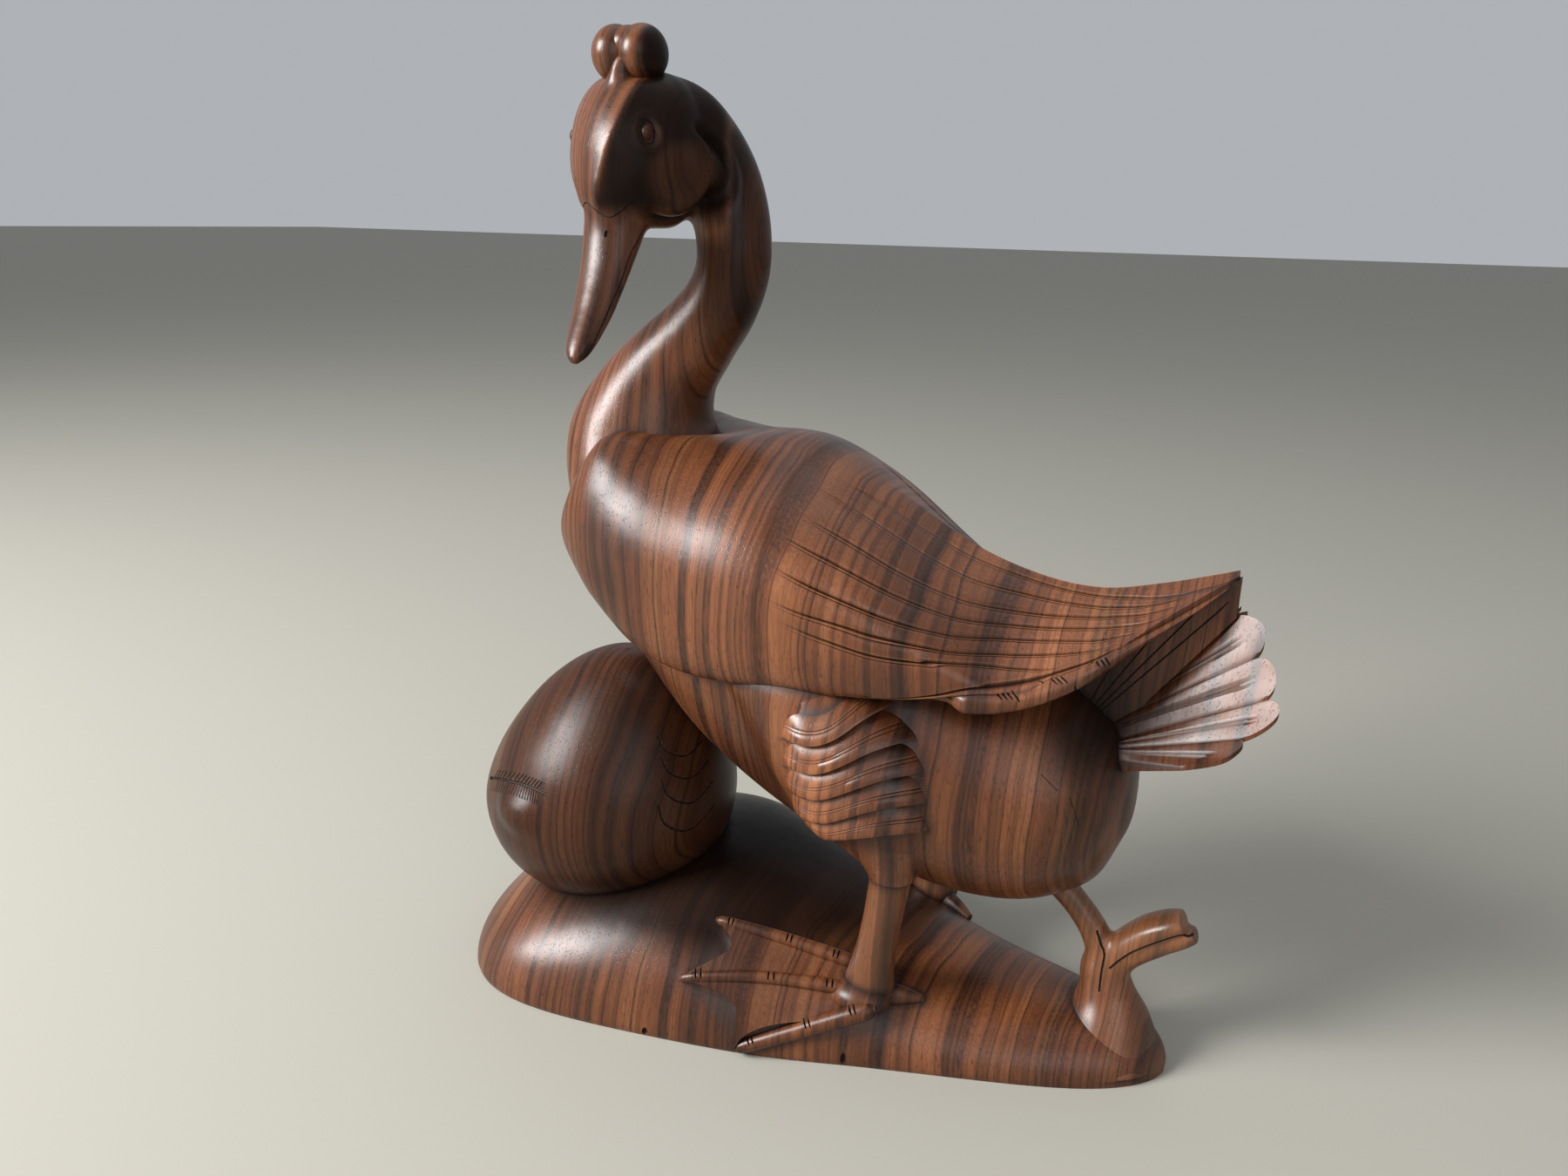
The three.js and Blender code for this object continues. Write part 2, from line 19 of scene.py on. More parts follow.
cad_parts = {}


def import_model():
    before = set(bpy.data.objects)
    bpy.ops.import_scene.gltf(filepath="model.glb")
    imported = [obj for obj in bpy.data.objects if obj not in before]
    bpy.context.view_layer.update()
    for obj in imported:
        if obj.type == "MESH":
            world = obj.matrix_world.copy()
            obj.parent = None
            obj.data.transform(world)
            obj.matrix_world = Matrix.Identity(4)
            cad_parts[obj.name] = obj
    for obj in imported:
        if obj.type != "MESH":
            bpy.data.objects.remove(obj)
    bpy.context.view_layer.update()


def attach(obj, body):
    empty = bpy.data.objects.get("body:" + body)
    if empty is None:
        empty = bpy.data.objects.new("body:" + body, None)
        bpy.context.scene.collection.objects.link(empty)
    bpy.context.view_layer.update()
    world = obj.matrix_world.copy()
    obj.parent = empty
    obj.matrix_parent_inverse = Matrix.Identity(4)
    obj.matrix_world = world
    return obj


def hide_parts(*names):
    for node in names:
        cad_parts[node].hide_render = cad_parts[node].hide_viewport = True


log = logging.getLogger("goose")
MM = 0.001
CARVING = "goose_carving"
BODY = "root"
Rows = Sequence[Sequence[float]]
Array = np.ndarray
Number = np.ndarray | float
Piece = bpy.types.Object
Mesh = bpy.types.Mesh
Material = bpy.types.Material
Tree = bpy.types.NodeTree
Socket = bpy.types.NodeSocket

# Mound: x, half width to the goose's left, to its right, height
MOUND_ENDS = (-163.0, 158.0)
MOUND_ROWS = (
    (-163, 88, 84, 32), (-106, 86, 94, 51), (-53, 80, 88, 62), (2, 70, 70, 50), (45, 57, 53, 37),
    (80, 47, 42, 28), (115, 38, 34, 25), (158, 28, 26, 26),
)
# Chips in the mound's lower edge: where each starts and ends
MOUND_CHIPS = (((36.4, -59.6, 0.6), (36.0, -58.6, 6.4)), ((-47.4, -79.4, 0.4), (-46.8, -78.6, 4.6)))
MOUND_POWER = 2.2
MOUND_END_POWER = 7

# Trunk and neck: x, y, z of the path, half width, then the sizes above and below it
TRUNK_ROWS = (
    (134, 0, 118, 2, 2, 2), (132.5, 0, 118, 14, 14, 17.5), (125, 0, 118, 28.5, 28.5, 35),
    (110, 0, 117, 41.5, 41.5, 46.5), (84, 0, 117, 50.5, 50.5, 52.5), (50, 0, 123, 55, 52, 56),
    (15, 0, 139, 56, 56, 59), (-25, 0, 164, 55, 54, 54), (-62, 0, 192, 52, 40, 50),
    (-85, 0, 218, 45, 32, 50), (-93, 0, 240, 36, 30, 41), (-88, 0, 258, 29.5, 25, 33),
    (-78, 0, 274, 22.5, 20, 23.5), (-65, 0, 288, 18, 17, 18.5), (-54, 0, 301, 16, 16, 16),
    (-48, 0, 316, 15.3, 15.3, 15.3), (-48.5, 0, 333, 15.6, 15.6, 15.6),
    (-54, -2, 349, 16, 15.6, 17.5), (-61.5, -8, 361, 16.5, 15.6, 19.5),
    (-69, -14, 369, 16, 15, 19.5), (-77, -20, 371, 12, 12, 16),
)

# Mantle: x, height of the middle, dip beside the neck, widest half width, its height, half width
# at the lower edge, its height, thickness
MANTLE_ENDS = (-107.0, 161.0)
MANTLE_ROWS = (
    (-107, 214, 0, 44, 212, 43, 210, 2), (-102, 240, 34, 50, 211, 45, 202, 14),
    (-94.5, 262, 50, 56, 209, 46, 193, 24), (-84, 278, 56, 61.5, 206, 49, 182, 34),
    (-62, 264, 22, 67, 204, 55, 167, 40), (-40, 254, 5, 69, 202, 58, 161, 40),
    (-10, 250, 0, 70, 199, 60, 161, 38), (20, 236, 0, 67, 192, 60, 163, 38),
    (60, 214, 0, 59, 182, 56, 164, 38), (88, 205, 0, 51, 173, 50, 165, 36),
    (112, 203, 0, 39, 180, 38, 174, 24), (135, 208, 0, 20, 197, 19, 192, 9),
    (161, 216.5, 0, 2, 215, 1.5, 212, 3),
)
RIM_ROWS = (
    (-107, 0.9), (36, 0.92), (63, 0.81), (84, 0.59), (103, 0.52), (121, 0.56), (134, 0.7),
    (161, 0.85),
)
# Tufts of short cuts over the rim: where each starts, how many cuts, how long they are
WING_TUFTS = (((85, -51, 172.5), 4, 6.5), ((98, -42, 177.5), 5, 6), ((115, -34, 183.5), 4, 4))
RIM_NOTCH = ((111, 40, 178), (113, 39, 173))
# Feather grooves of a wing: where each starts and ends along x, then x and the line down the wing
WING_GROOVES = (
    (8, 148, ((8, 0.13), (50, 0.07), (90, 0.06), (120, 0.12), (144, 0.31))),
    (4, 150, ((4, 0.20), (60, 0.17), (110, 0.2), (146, 0.42))),
    (2, 148, ((2, 0.30), (80, 0.30), (115, 0.34), (143, 0.55))),
    (-4, 145, ((-4, 0.38), (60, 0.40), (111, 0.45), (140, 0.70))),
    (-2, 137, ((-2, 0.47), (50, 0.51), (100, 0.54), (132, 0.75))),
    (-1, 125, ((-1, 0.57), (50, 0.60), (95, 0.66), (120, 0.78))),
    (4, 110, ((4, 0.62), (69, 0.69), (90, 0.77), (104, 0.86))),
)

# Head: up, reach behind, reach ahead, half width
HEAD_MIDDLE = np.array([-77.0, -24.0, 361.0])
HEAD_TURN = math.radians(92)
AHEAD = np.array([-math.cos(HEAD_TURN), -math.sin(HEAD_TURN), 0.0])
ASIDE = np.array([-math.sin(HEAD_TURN), math.cos(HEAD_TURN), 0.0])
UP = np.array([0.0, 0.0, 1.0])
HEAD_ROWS = (
    (28.5, 1, 1, 1), (27, -15, 8, 12), (22, -27, 17, 20), (13, -34, 25, 25), (2, -36, 30, 27),
    (-9, -33, 31, 27), (-19, -26, 31, 23), (-26, -20, 30, 17.5), (-30, -13, 28, 12.5),
)
# Line down the forehead where the dark side of the head begins: up, aside
BROW_ROWS = ((-27, 2), (-18.6, 1.5), (-5.3, -2.1), (5.7, -5.6), (16.5, -7.9), (24.6, -9.5))
# Bill: ahead, up, half width, thickness in front of the middle and behind it
BILL_ROWS = (
    (13, -14, 11.5, 15, 10), (17.2, -27, 12.3, 12.5, 11), (25, -43.7, 10.5, 7.6, 7),
    (34.8, -59.2, 8.6, 5.6, 5.4), (41, -67, 7.3, 4.7, 4.5), (47.2, -74.2, 5.5, 3.6, 3.5),
    (51, -78.4, 2.4, 1.8, 1.8),
)
BILL_ASIDE = 1.5
# Lines cut round the bill's root and along the mouth: ahead, aside, up
BILL_EDGE = (
    (18.8, -14.9, -22.1), (23.3, -12.2, -20.4), (26.1, -9.6, -21.1), (27.6, -5.9, -24.3),
    (29.1, -2.7, -26.2), (29.3, 0.8, -24.8), (28.8, 4.6, -21.6), (26.5, 7.5, -20.6),
    (22, 10, -22.2),
)
MOUTH = (
    (15.5, -9.6, -28.2), (24.4, -9.2, -38.7), (30.6, -7.9, -49.8), (36.2, -6.8, -57.6),
    (42.6, -5.5, -66.9), (48.5, -3.2, -75.0),
)
NOSTRIL = ((30, -1.4, -30.6), (30.5, -1.0, -33.4))
# The drying crack in the rump's left side, in two lines
CRACKS = (
    ((102.8, -38.9, 138.5), (106.5, -38.5, 135.2), (109.4, -38.4, 132.9)),
    ((113.5, -36.3, 130.0), (115.6, -36.0, 125.5), (117.9, -35.5, 119.0)),
)

# Thigh: z, x, y, half size along x, half size along y
THIGH_ROWS = (
    (84, 48, -44.5, 9, 8.5), (91, 46, -44.5, 12, 10), (99, 41, -44.5, 20.5, 13.5),
    (107, 36, -44, 28, 18.5), (117, 31.5, -43, 32, 22), (127, 27, -42, 35.5, 25),
    (137, 23, -41, 37, 26.5), (150, 15, -40, 38, 27), (164, 3, -38, 35, 26), (176, -2, -34, 25, 20),
)
# A row of thigh feathers from the top down: share of its pitch, how full, how dark
FEATHER_ROWS = (
    (0.0, 0.0, 1), (0.03, 0.06, 0.6), (0.12, 0.26, 0), (0.25, 0.48, 0), (0.38, 0.66, 0),
    (0.43, 0.7, 0), (0.455, 0.6, 0.6), (0.48, 0.73, 0), (0.54, 0.78, 0), (0.565, 0.7, 0.6),
    (0.59, 0.82, 0), (0.72, 0.94, 0), (0.84, 1.0, 0), (0.92, 0.96, 0), (0.96, 0.75, 0.2),
    (0.985, 0.3, 0.9),
)
# Shank: x, y, z, half size along y, half sizes behind and in front
SHANK_ROWS = (
    (48, -44, 92, 9, 9.5, 9.5), (47.5, -44, 84, 8.6, 9, 9), (46, -44, 70, 8, 8.2, 8.2),
    (43.5, -44, 52, 8.2, 8.4, 8.4), (41.5, -44, 38, 9.4, 9.8, 9.8), (40.5, -43, 29, 10, 10.5, 11.5),
    (39.5, -42, 22, 6, 6, 7),
)
ANKLE = (38.0, -45.0)
TOE_ROOTS = ((45.0, -48.0), (37.0, -46.0), (34.0, -38.0))
TOE_RISES = (8.0, 2.5, 1.5)
# How straight each toe runs, instead of bending over the mound
TOE_STRAIGHT = (1.0, 0.0, 0.0)
TOE_TIPS = ((-7.0, -72.0), (-34.5, -70.5), (-27.5, -50.5))
# How far each web's edge draws in, as a share of the toes' length
WEB_SCOOPS = (0.15, 0.2)
HIND_TOE = (62.0, -35.0)

# Tail fan, one side: feather line, x, y, z of its tip; then of its root
FAN_TIPS = (
    (0, 163, 0, 202.5), (0.5, 171.5, -6, 197.5), (1.5, 178, -14, 183), (2.5, 181, -22, 170.5),
    (3.5, 167, -28, 154), (4, 155, -29, 147.5),
)
FAN_ROOTS = (
    (0, 118, -1, 144), (1, 118, -6.5, 146.5), (2, 118, -9.4, 139.5), (3, 118, -11.8, 138),
    (4, 118, -12, 135),
)
# The web that ties the wings' tip to the fan's ridge: x, its foot, its top, half thickness
KEEL_ROWS = (
    (98, 140, 182, 9), (120, 145, 194, 8), (140, 170, 205, 6.5), (155, 190, 211.5, 4.5),
    (162, 199, 213.5, 2.5),
)

# Lines scored down the keel: x and z of each top end
KEEL_LINES = ((129, 196), (141, 201), (151, 204.5), (159, 205))

# Gosling: height above its middle, shift along x, half size along x, along y
GOSLING_MIDDLE = np.array([-101.0, -15.0, 87.0])
GOSLING_ROWS = (
    (-57, -2, 4, 4), (-54, -2, 24, 24), (-44, -2, 42, 41), (-28, -1, 54, 53), (-8, 0, 58.5, 57.5),
    (14, 2.5, 53.5, 53), (36, 5, 41, 40), (51, 7, 27, 26), (59.5, 8, 12.5, 12.5), (61.5, 8, 1, 1),
)
GOSLING_CHEEK = np.array([-112.0, -55.0, 84.0])
CHEEK_SIZE = np.array([21.0, 19.5, 15.0])
GOSLING_NOTCH = (
    (-141.5, -51.5, 88.5), (-132, -61, 94.5), (-118.5, -69, 99.5), (-108, -71.5, 99.8),
    (-100, -72.5, 98.5),
)

# Feather edges on the gosling's wing: x and z of each middle
SCALLOPS = ((-49, 122), (-49.5, 111), (-52, 100), (-56, 89))

# Branch: x, y, z, half size along y, half sizes on either side along x
BRANCH_ROOT = (
    (131, 0, 3, 26, 25, 25), (131, 0, 18, 18, 17, 19), (130, 0, 30, 11, 11, 12.5),
    (128, 0, 42, 8.5, 9, 9.5), (128, 0, 50, 5, 5, 5),
)
BRANCH_PROP = (
    (130, 0, 34, 6, 6, 6), (127, 0, 47, 6.5, 6.5, 6.5), (121.5, 0, 58, 6, 5.8, 5.8),
    (112, 0, 69, 5.8, 5.6, 5.6), (100, 0, 80, 7, 7, 7),
)
BRANCH_BUD = (
    (129, 0, 34, 7, 7, 7), (134, 0, 48, 8, 7, 7), (144, 0, 60, 8.5, 6.5, 6),
    (152, 0, 66, 8.5, 5.5, 5), (158, 0, 69, 7, 4.5, 4.5),
)
BRANCH_LIP = (
    (131, 0, 36, 6, 6, 6), (138, 0, 48, 7, 6, 6), (149, 0, 57, 7.5, 5.5, 5.5),
    (158, 0, 62, 6.5, 4.5, 4.5), (163, 0, 64.5, 5, 3.2, 3.2),
)
# Lines scored between the bud's lips and down the fork
BUD_LINE = ((132, -9, 44), (140, -9, 54), (150, -9, 61), (157, -8, 65), (163, -3, 67))
FORK_LINE = ((127, -9, 60), (128.5, -9, 52), (129, -10, 44), (129, -12, 34))

# Least distance in millimetres over which the bend of a surface is measured
LEAST_STEP = 0.45
# How far old wax and painted shade reach from the angle between two pieces, in millimetres
WAX_AND_SHADE_REACH = 3.0
# The angle in degrees from which an edge looks sharp
SHARP_ANGLE = 38
# Share of the block's near-black heart in each piece; the gosling's share is partly painted shade
# under the goose's breast
HEARTWOOD_AND_SHADE = {"gosling": 0.72, "webbed_feet": 0.35}

# Stage, in metres and watts: each lamp's name, place, size and power
LAMPS = (
    ("window", (-1.35, -1.25, 1.15), (0.85, 0.95), 102), ("room", (1.2, -1.5, 0.9), (1.4, 1.4), 9),
    ("ceiling", (0.1, 0.3, 1.9), (1.6, 1.6), 5),
)
LAMP_AIM = (-0.02, -0.02, 0.18)
FLOOR_SIZE = 30
FLOOR_COLOUR = "#9a978d"
FLOOR_ROUGHNESS = 0.8
ROOM_COLOUR = "#dfe3e8"
ROOM_STRENGTH = 0.58
CAMERA_LENS = 28.08
# Yaw, pitch and roll in degrees
CAMERA_TURN = (24, 16.93, 1.34)
CAMERA_PLACE = (0.1839, -0.4622, 0.3370)

# Curves


def smooth(t: Number) -> Array:
    """A step from 0 to 1 that starts and ends level."""
    t = np.clip(t, 0, 1)
    return t * t * (3 - 2 * t)


def mix(a: Number, b: Number, t: Number) -> Array:
    """The value a share t of the way from a to b."""
    return a + (np.asarray(b) - a) * t


def eased(count: int) -> Array:
    """Numbers from 0 to 1, closer together at both ends."""
    return (1 - np.cos(np.pi * np.linspace(0, 1, count + 1))) / 2


def track(rows: Rows) -> Callable[[Number], Array]:
    """A smooth function through rows of station and values.

    Args:
        rows: Lists of one station and its values, sorted by station.

    Returns:
        A function from stations to an array with the values along its last axis.
    """
    data = np.array(rows, dtype=float)
    stations, values = data[:, 0], data[:, 1:]
    last = len(data) - 1
    index = np.arange(last + 1)
    low, high = np.maximum(index - 1, 0), np.minimum(index + 1, last)
    slopes = (values[high] - values[low]) / (stations[high] - stations[low])[:, None]

    def at(station: Number) -> Array:
        """The values at one or more stations."""
        s = np.asarray(station, dtype=float)
        i = np.clip(np.searchsorted(stations, s, side="left") - 1, 0, last - 1)
        span = (stations[i + 1] - stations[i])[..., None]
        t = np.clip((s[..., None] - stations[i][..., None]) / span, 0, 1)
        return (
            (2 * t**3 - 3 * t**2 + 1) * values[i]
            + (t**3 - 2 * t**2 + t) * span * slopes[i]
            + (3 * t**2 - 2 * t**3) * values[i + 1]
            + (t**3 - t**2) * span * slopes[i + 1]
        )

    return at


def turns(count: int) -> Array:
    """The angles of points evenly round a circle."""
    return 2 * np.pi * np.arange(count) / count


def counted(rows: Rows) -> list[list[float]]:
    """The same rows with their place in the list as the station."""
    return [[i, *row] for i, row in enumerate(rows)]


# Surfaces


@dataclass(frozen=True)
class Surface:
    """A closed surface in millimetres, with how deeply each point is carved, from 0 to 1.

    On the keel the same numbers hold painted shade instead.
    """

    points: Array
    quads: Array
    tris: Array
    carved_and_shaded: Array

    def outward(self) -> Surface:
        """The same surface with its faces pointing out."""
        corners = np.vstack([self.tris, self.quads[:, :3], self.quads[:, [0, 2, 3]]])
        a, b, c = (self.points[corners[:, k]] for k in range(3))
        if np.einsum("ij,ij->", a, np.cross(b, c)) > 0:
            return self
        return Surface(self.points, self.quads[:, ::-1], self.tris[:, ::-1], self.carved_and_shaded)

    def mirrored(self) -> Surface:
        """The same surface on the goose's other side."""
        points = self.points * np.array([1, -1, 1])
        return Surface(points, self.quads[:, ::-1], self.tris[:, ::-1], self.carved_and_shaded)


def gathered(surfaces: Sequence[Surface]) -> Surface:
    """Several closed surfaces as one.

    Args:
        surfaces: The surfaces, which may pass through each other.

    Returns:
        One surface that holds them all.
    """
    offsets = np.cumsum([0] + [len(s.points) for s in surfaces])
    return Surface(
        np.vstack([s.points for s in surfaces]),
        np.vstack([s.quads + o for s, o in zip(surfaces, offsets)]),
        np.vstack([s.tris + o for s, o in zip(surfaces, offsets)]),
        np.concatenate([s.carved_and_shaded for s in surfaces]),
    )


def skin(rings: Array, carved_and_shaded: Array | None = None) -> Surface:
    """One closed surface from rings of points, capped at both ends.

    Args:
        rings: Rings, points round each, and x, y, z.
        carved_and_shaded: How deeply each point is carved.

    Returns:
        The surface, facing out.
    """
    count = rings.shape[1]
    grid = np.arange(rings.shape[0] * count).reshape(rings.shape[:2])
    beside = np.roll(grid, -1, axis=1)
    quads = np.stack([grid[:-1], beside[:-1], beside[1:], grid[1:]], axis=-1).reshape(-1, 4)
    middles = np.array([rings[0].mean(axis=0), rings[-1].mean(axis=0)])
    first = np.stack([np.full(count, grid.size), beside[0], grid[0]], axis=1)
    final = np.stack([np.full(count, grid.size + 1), grid[-1], beside[-1]], axis=1)
    depth = np.zeros(grid.size) if carved_and_shaded is None else carved_and_shaded.reshape(-1)
    return Surface(
        np.vstack([rings.reshape(-1, 3), middles]),
        quads,
        np.vstack([first, final]),
        np.concatenate([depth, [0, 0]]),
    ).outward()


def slab(top: Array, bottom: Array, carved_and_shaded: Array | None = None) -> Surface:
    """A closed surface between two sheets of points with the same rows and columns.

    Args:
        top: Rows, columns, and x, y, z of the upper sheet.
        bottom: The lower sheet.
        carved_and_shaded: How deeply each point of the upper sheet is carved; on the keel it holds
            painted shade.

    Returns:
        The surface, facing out.
    """
    upper = np.arange(top.shape[0] * top.shape[1]).reshape(top.shape[:2])
    lower = upper + upper.size

    def faces(grid: Array) -> Array:
        """The quads of a grid of point numbers."""
        corners = (grid[:-1, :-1], grid[:-1, 1:], grid[1:, 1:], grid[1:, :-1])
        return np.stack(corners, axis=-1).reshape(-1, 4)

    walls = [
        np.stack([upper[0], lower[0]]),
        np.stack([lower[-1], upper[-1]]),
        np.stack([lower[:, 0], upper[:, 0]]),
        np.stack([upper[:, -1], lower[:, -1]]),
    ]
    quads = [faces(upper), faces(lower)[:, ::-1]] + [faces(w)[:, ::-1] for w in walls]
    depth = np.zeros(upper.size) if carved_and_shaded is None else carved_and_shaded.reshape(-1)
    return Surface(
        np.vstack([top.reshape(-1, 3), bottom.reshape(-1, 3)]),
        np.vstack(quads),
        np.zeros((0, 3), dtype=int),
        np.concatenate([depth, np.zeros(upper.size)]),
    ).outward()


def tube(rows: Rows, lengths: int, count: int, hint: Sequence[float] = (0, 1, 0)) -> Surface:
    """A closed surface along a path, its sections square to the path.

    Args:
        rows: x, y, z, half width, and the sizes to either side of the path.
        lengths: How many lengths the path is cut into.
        count: Points round each section.
        hint: The direction in which the width lies as nearly as the path allows.

    Returns:
        The surface, facing out.
    """
    at = track(counted(rows))
    last = len(rows) - 1
    step = 0.01
    s = np.linspace(0, last, lengths + 1)
    values = at(s)
    tangent = at(np.minimum(s + step, last))[:, :3] - at(np.maximum(s - step, 0))[:, :3]
    tangent /= np.linalg.norm(tangent, axis=1)[:, None]
    wide = np.asarray(hint, dtype=float)
    side = wide - (tangent @ wide)[:, None] * tangent
    side /= np.linalg.norm(side, axis=1)[:, None]
    over = np.cross(tangent, side)
    angle = turns(count)
    half, above, below = (values[:, k, None] for k in (3, 4, 5))
    reach = np.where(np.sin(angle) > 0, above, below) * np.sin(angle)
    rings = (
        values[:, None, :3]
        + side[:, None] * (half * np.cos(angle))[..., None]
        + over[:, None] * reach[..., None]
    )
    return skin(rings)


def ball(centre: Array, axes: Array, detail: int) -> Surface:
    """A closed ellipsoid.

    Args:
        centre: Its middle.
        axes: Its three half axes as rows.
        detail: Points round its waist.

    Returns:
        The surface, facing out.
    """
    lift = np.linspace(-1, 1, detail // 2 + 1)[1:-1] * np.pi / 2
    turn = turns(detail)
    unit = np.stack(
        [
            np.cos(lift)[:, None] * np.cos(turn),
            np.cos(lift)[:, None] * np.sin(turn),
            np.broadcast_to(np.sin(lift)[:, None], (len(lift), detail)),
        ],
        axis=-1,
    )
    made = skin(unit @ axes + centre)
    poles = np.array([centre - axes[2], centre + axes[2]])
    return Surface(np.vstack([made.points[:-2], poles]), made.quads, made.tris, made.carved_and_shaded)


def in_head(forward: Array, side: Array, up: Array) -> Array:
    """A place in the head's own directions, as x, y, z."""
    parts = np.broadcast_arrays(*(np.asarray(v, dtype=float) for v in (forward, side, up)))
    return HEAD_MIDDLE + sum(p[..., None] * d for p, d in zip(parts, (AHEAD, ASIDE, UP)))


def head_parts(points: Array) -> tuple[Array, Array, Array]:
    """How far points lie ahead, aside and up from the head's middle."""
    away = points - HEAD_MIDDLE
    return away @ AHEAD, away @ ASIDE, away @ UP


# Where the goose's forms are evened out into each other: the place, how far, how many rounds
SOFTENED = (
    (in_head(-22, 4, 12), 32, 70), ((125, 0, 117), 40, 40), (in_head(15, 3, 20), 9, 14),
    (in_head(-14, -6, -26), 13, 20), (in_head(24, 1, -27), 15, 25), ((20, -48, 125), 60, 25),
    ((20, 48, 125), 60, 25), ((46, -44, 88), 16, 20), ((46, 44, 88), 16, 20),
)


# The mound's surface

mound_at = track(MOUND_ROWS)


def mound_sizes(x: Array) -> Array:
    """The mound's half widths and height at x, drawn in at its ends."""
    span = MOUND_ENDS[1] - MOUND_ENDS[0]
    t = np.abs((2 * x - sum(MOUND_ENDS)) / span)
    return mound_at(x) * np.sqrt(np.maximum(1 - t**MOUND_END_POWER, 0))[..., None]


def mound_height(x: Array, y: Array) -> Array:
    """How high the mound's surface is above a point in plan."""
    sizes = mound_sizes(np.asarray(x, dtype=float))
    across = np.abs(y) / np.where(np.asarray(y) < 0, sizes[..., 0], sizes[..., 1])
    return sizes[..., 2] * (1 - np.minimum(across, 0.999) ** MOUND_POWER) ** (1 / MOUND_POWER)


def on_mound(x: Array, y: Array, lift: Number) -> Array:
    """The mound's surface above a point in plan, raised along its normal.

    Args:
        x: Places along the carving.
        y: Places across it.
        lift: How far out of the surface.

    Returns:
        The points as x, y, z.
    """
    step = 0.5
    x, y, lift = np.broadcast_arrays(np.asarray(x, float), np.asarray(y, float), lift)
    slope_x = (mound_height(x + step, y) - mound_height(x - step, y)) / (2 * step)
    slope_y = (mound_height(x, y + step) - mound_height(x, y - step)) / (2 * step)
    normal = np.stack([-slope_x, -slope_y, np.ones_like(x)], axis=-1)
    normal /= np.linalg.norm(normal, axis=-1)[..., None]
    return np.stack([x, y, mound_height(x, y)], axis=-1) + normal * lift[..., None]


# Blender meshes


def to_object(name: str, surface: Surface) -> Piece:
    """Makes an object in the scene from a surface.

    Args:
        name: The piece's name.
        surface: Its surface in millimetres.

    Returns:
        The object, at the origin, in metres.
    """
    mesh = bpy.data.meshes.new(name)
    corners = np.concatenate([surface.quads.reshape(-1), surface.tris.reshape(-1)])
    sizes = np.concatenate([np.full(len(surface.quads), 4), np.full(len(surface.tris), 3)])
    mesh.vertices.add(len(surface.points))
    mesh.vertices.foreach_set("co", (surface.points * MM).reshape(-1))
    mesh.loops.add(len(corners))
    mesh.loops.foreach_set("vertex_index", corners.astype(np.int32))
    mesh.polygons.add(len(sizes))
    mesh.polygons.foreach_set("loop_start", (np.cumsum(sizes) - sizes).astype(np.int32))
    mesh.update(calc_edges=True)
    write_points(mesh, "carved_and_shaded", surface.carved_and_shaded)
    piece = bpy.data.objects.new(name, mesh)
    bpy.context.scene.collection.objects.link(piece)
    return piece


def write_points(mesh: Mesh, name: str, values: Array) -> None:
    """Stores one number or one vector for each point of a mesh.

    Args:
        mesh: The mesh.
        name: The attribute's name.
        values: A number or three numbers for each point.
    """
    kind, field = ("FLOAT", "value") if values.ndim == 1 else ("FLOAT_VECTOR", "vector")
    held = mesh.attributes.get(name) or mesh.attributes.new(name, kind, "POINT")
    held.data.foreach_set(field, values.reshape(-1).astype(np.float32))


def read_points(mesh: Mesh, name: str) -> Array:
    """The number that an attribute holds for each point, or zeros where there is none."""
    values = np.zeros(len(mesh.vertices), dtype=np.float32)
    held = mesh.attributes.get(name)
    if held:
        held.data.foreach_get("value", values)
    return values


def vectors(items: object, field: str) -> Array:
    """Three numbers for each point of a mesh, as rows."""
    flat = np.empty(3 * len(items), dtype=np.float32)
    items.foreach_get(field, flat)
    return flat.reshape(-1, 3).astype(float)


def places(mesh: Mesh) -> Array:
    """The points of a mesh in millimetres."""
    return vectors(mesh.vertices, "co") / MM


def put(mesh: Mesh, points: Array) -> None:
    """Moves the points of a mesh to places in millimetres."""
    mesh.vertices.foreach_set("co", (points * MM).reshape(-1).astype(np.float32))
    mesh.update()


def outward_at(mesh: Mesh) -> Array:
    """The direction out of the surface at each point of a mesh."""
    return vectors(mesh.vertex_normals, "vector")


def links(mesh: Mesh) -> tuple[Array, Array]:
    """The points at the two ends of each edge, with each edge listed both ways round."""
    pairs = np.empty(2 * len(mesh.edges), dtype=np.int32)
    mesh.edges.foreach_get("vertices", pairs)
    first, second = pairs[0::2], pairs[1::2]
    return np.concatenate([first, second]), np.concatenate([second, first])


def settled(piece: Piece) -> Piece:
    """Turns a piece's live modifiers into its own mesh.

    Args:
        piece: The piece.

    Returns:
        The same piece with a plain mesh.
    """
    bpy.context.view_layer.update()
    graph = bpy.context.evaluated_depsgraph_get()
    before = piece.data
    made = bpy.data.meshes.new_from_object(piece.evaluated_get(graph))
    piece.modifiers.clear()
    piece.data = made
    bpy.data.meshes.remove(before)
    made.name = piece.name
    return piece


def modified(piece: Piece, kind: str, **settings: object) -> Piece:
    """Runs one modifier over a piece.

    Args:
        piece: The piece.
        kind: The modifier's type.
        **settings: Its properties.

    Returns:
        The same piece with the result as its mesh.
    """
    modifier = piece.modifiers.new(kind.lower(), kind)
    for key, value in settings.items():
        setattr(modifier, key, value)
    return settled(piece)


def run_together(piece: Piece, spacing: float) -> Piece:
    """Gives a piece one even skin round all its surfaces, with faces of this size."""
    return modified(piece, "REMESH", mode="VOXEL", voxel_size=spacing * MM)


def unite(piece: Piece, others: Sequence[Piece]) -> Piece:
    """Joins closed pieces into the first one's solid and removes the others.

    Args:
        piece: The piece that keeps its name.
        others: The pieces that join it.

    Returns:
        The first piece.
    """
    for other in others:
        modified(piece, "BOOLEAN", operation="UNION", solver="MANIFOLD", object=other)
        bpy.data.objects.remove(other)
    return piece


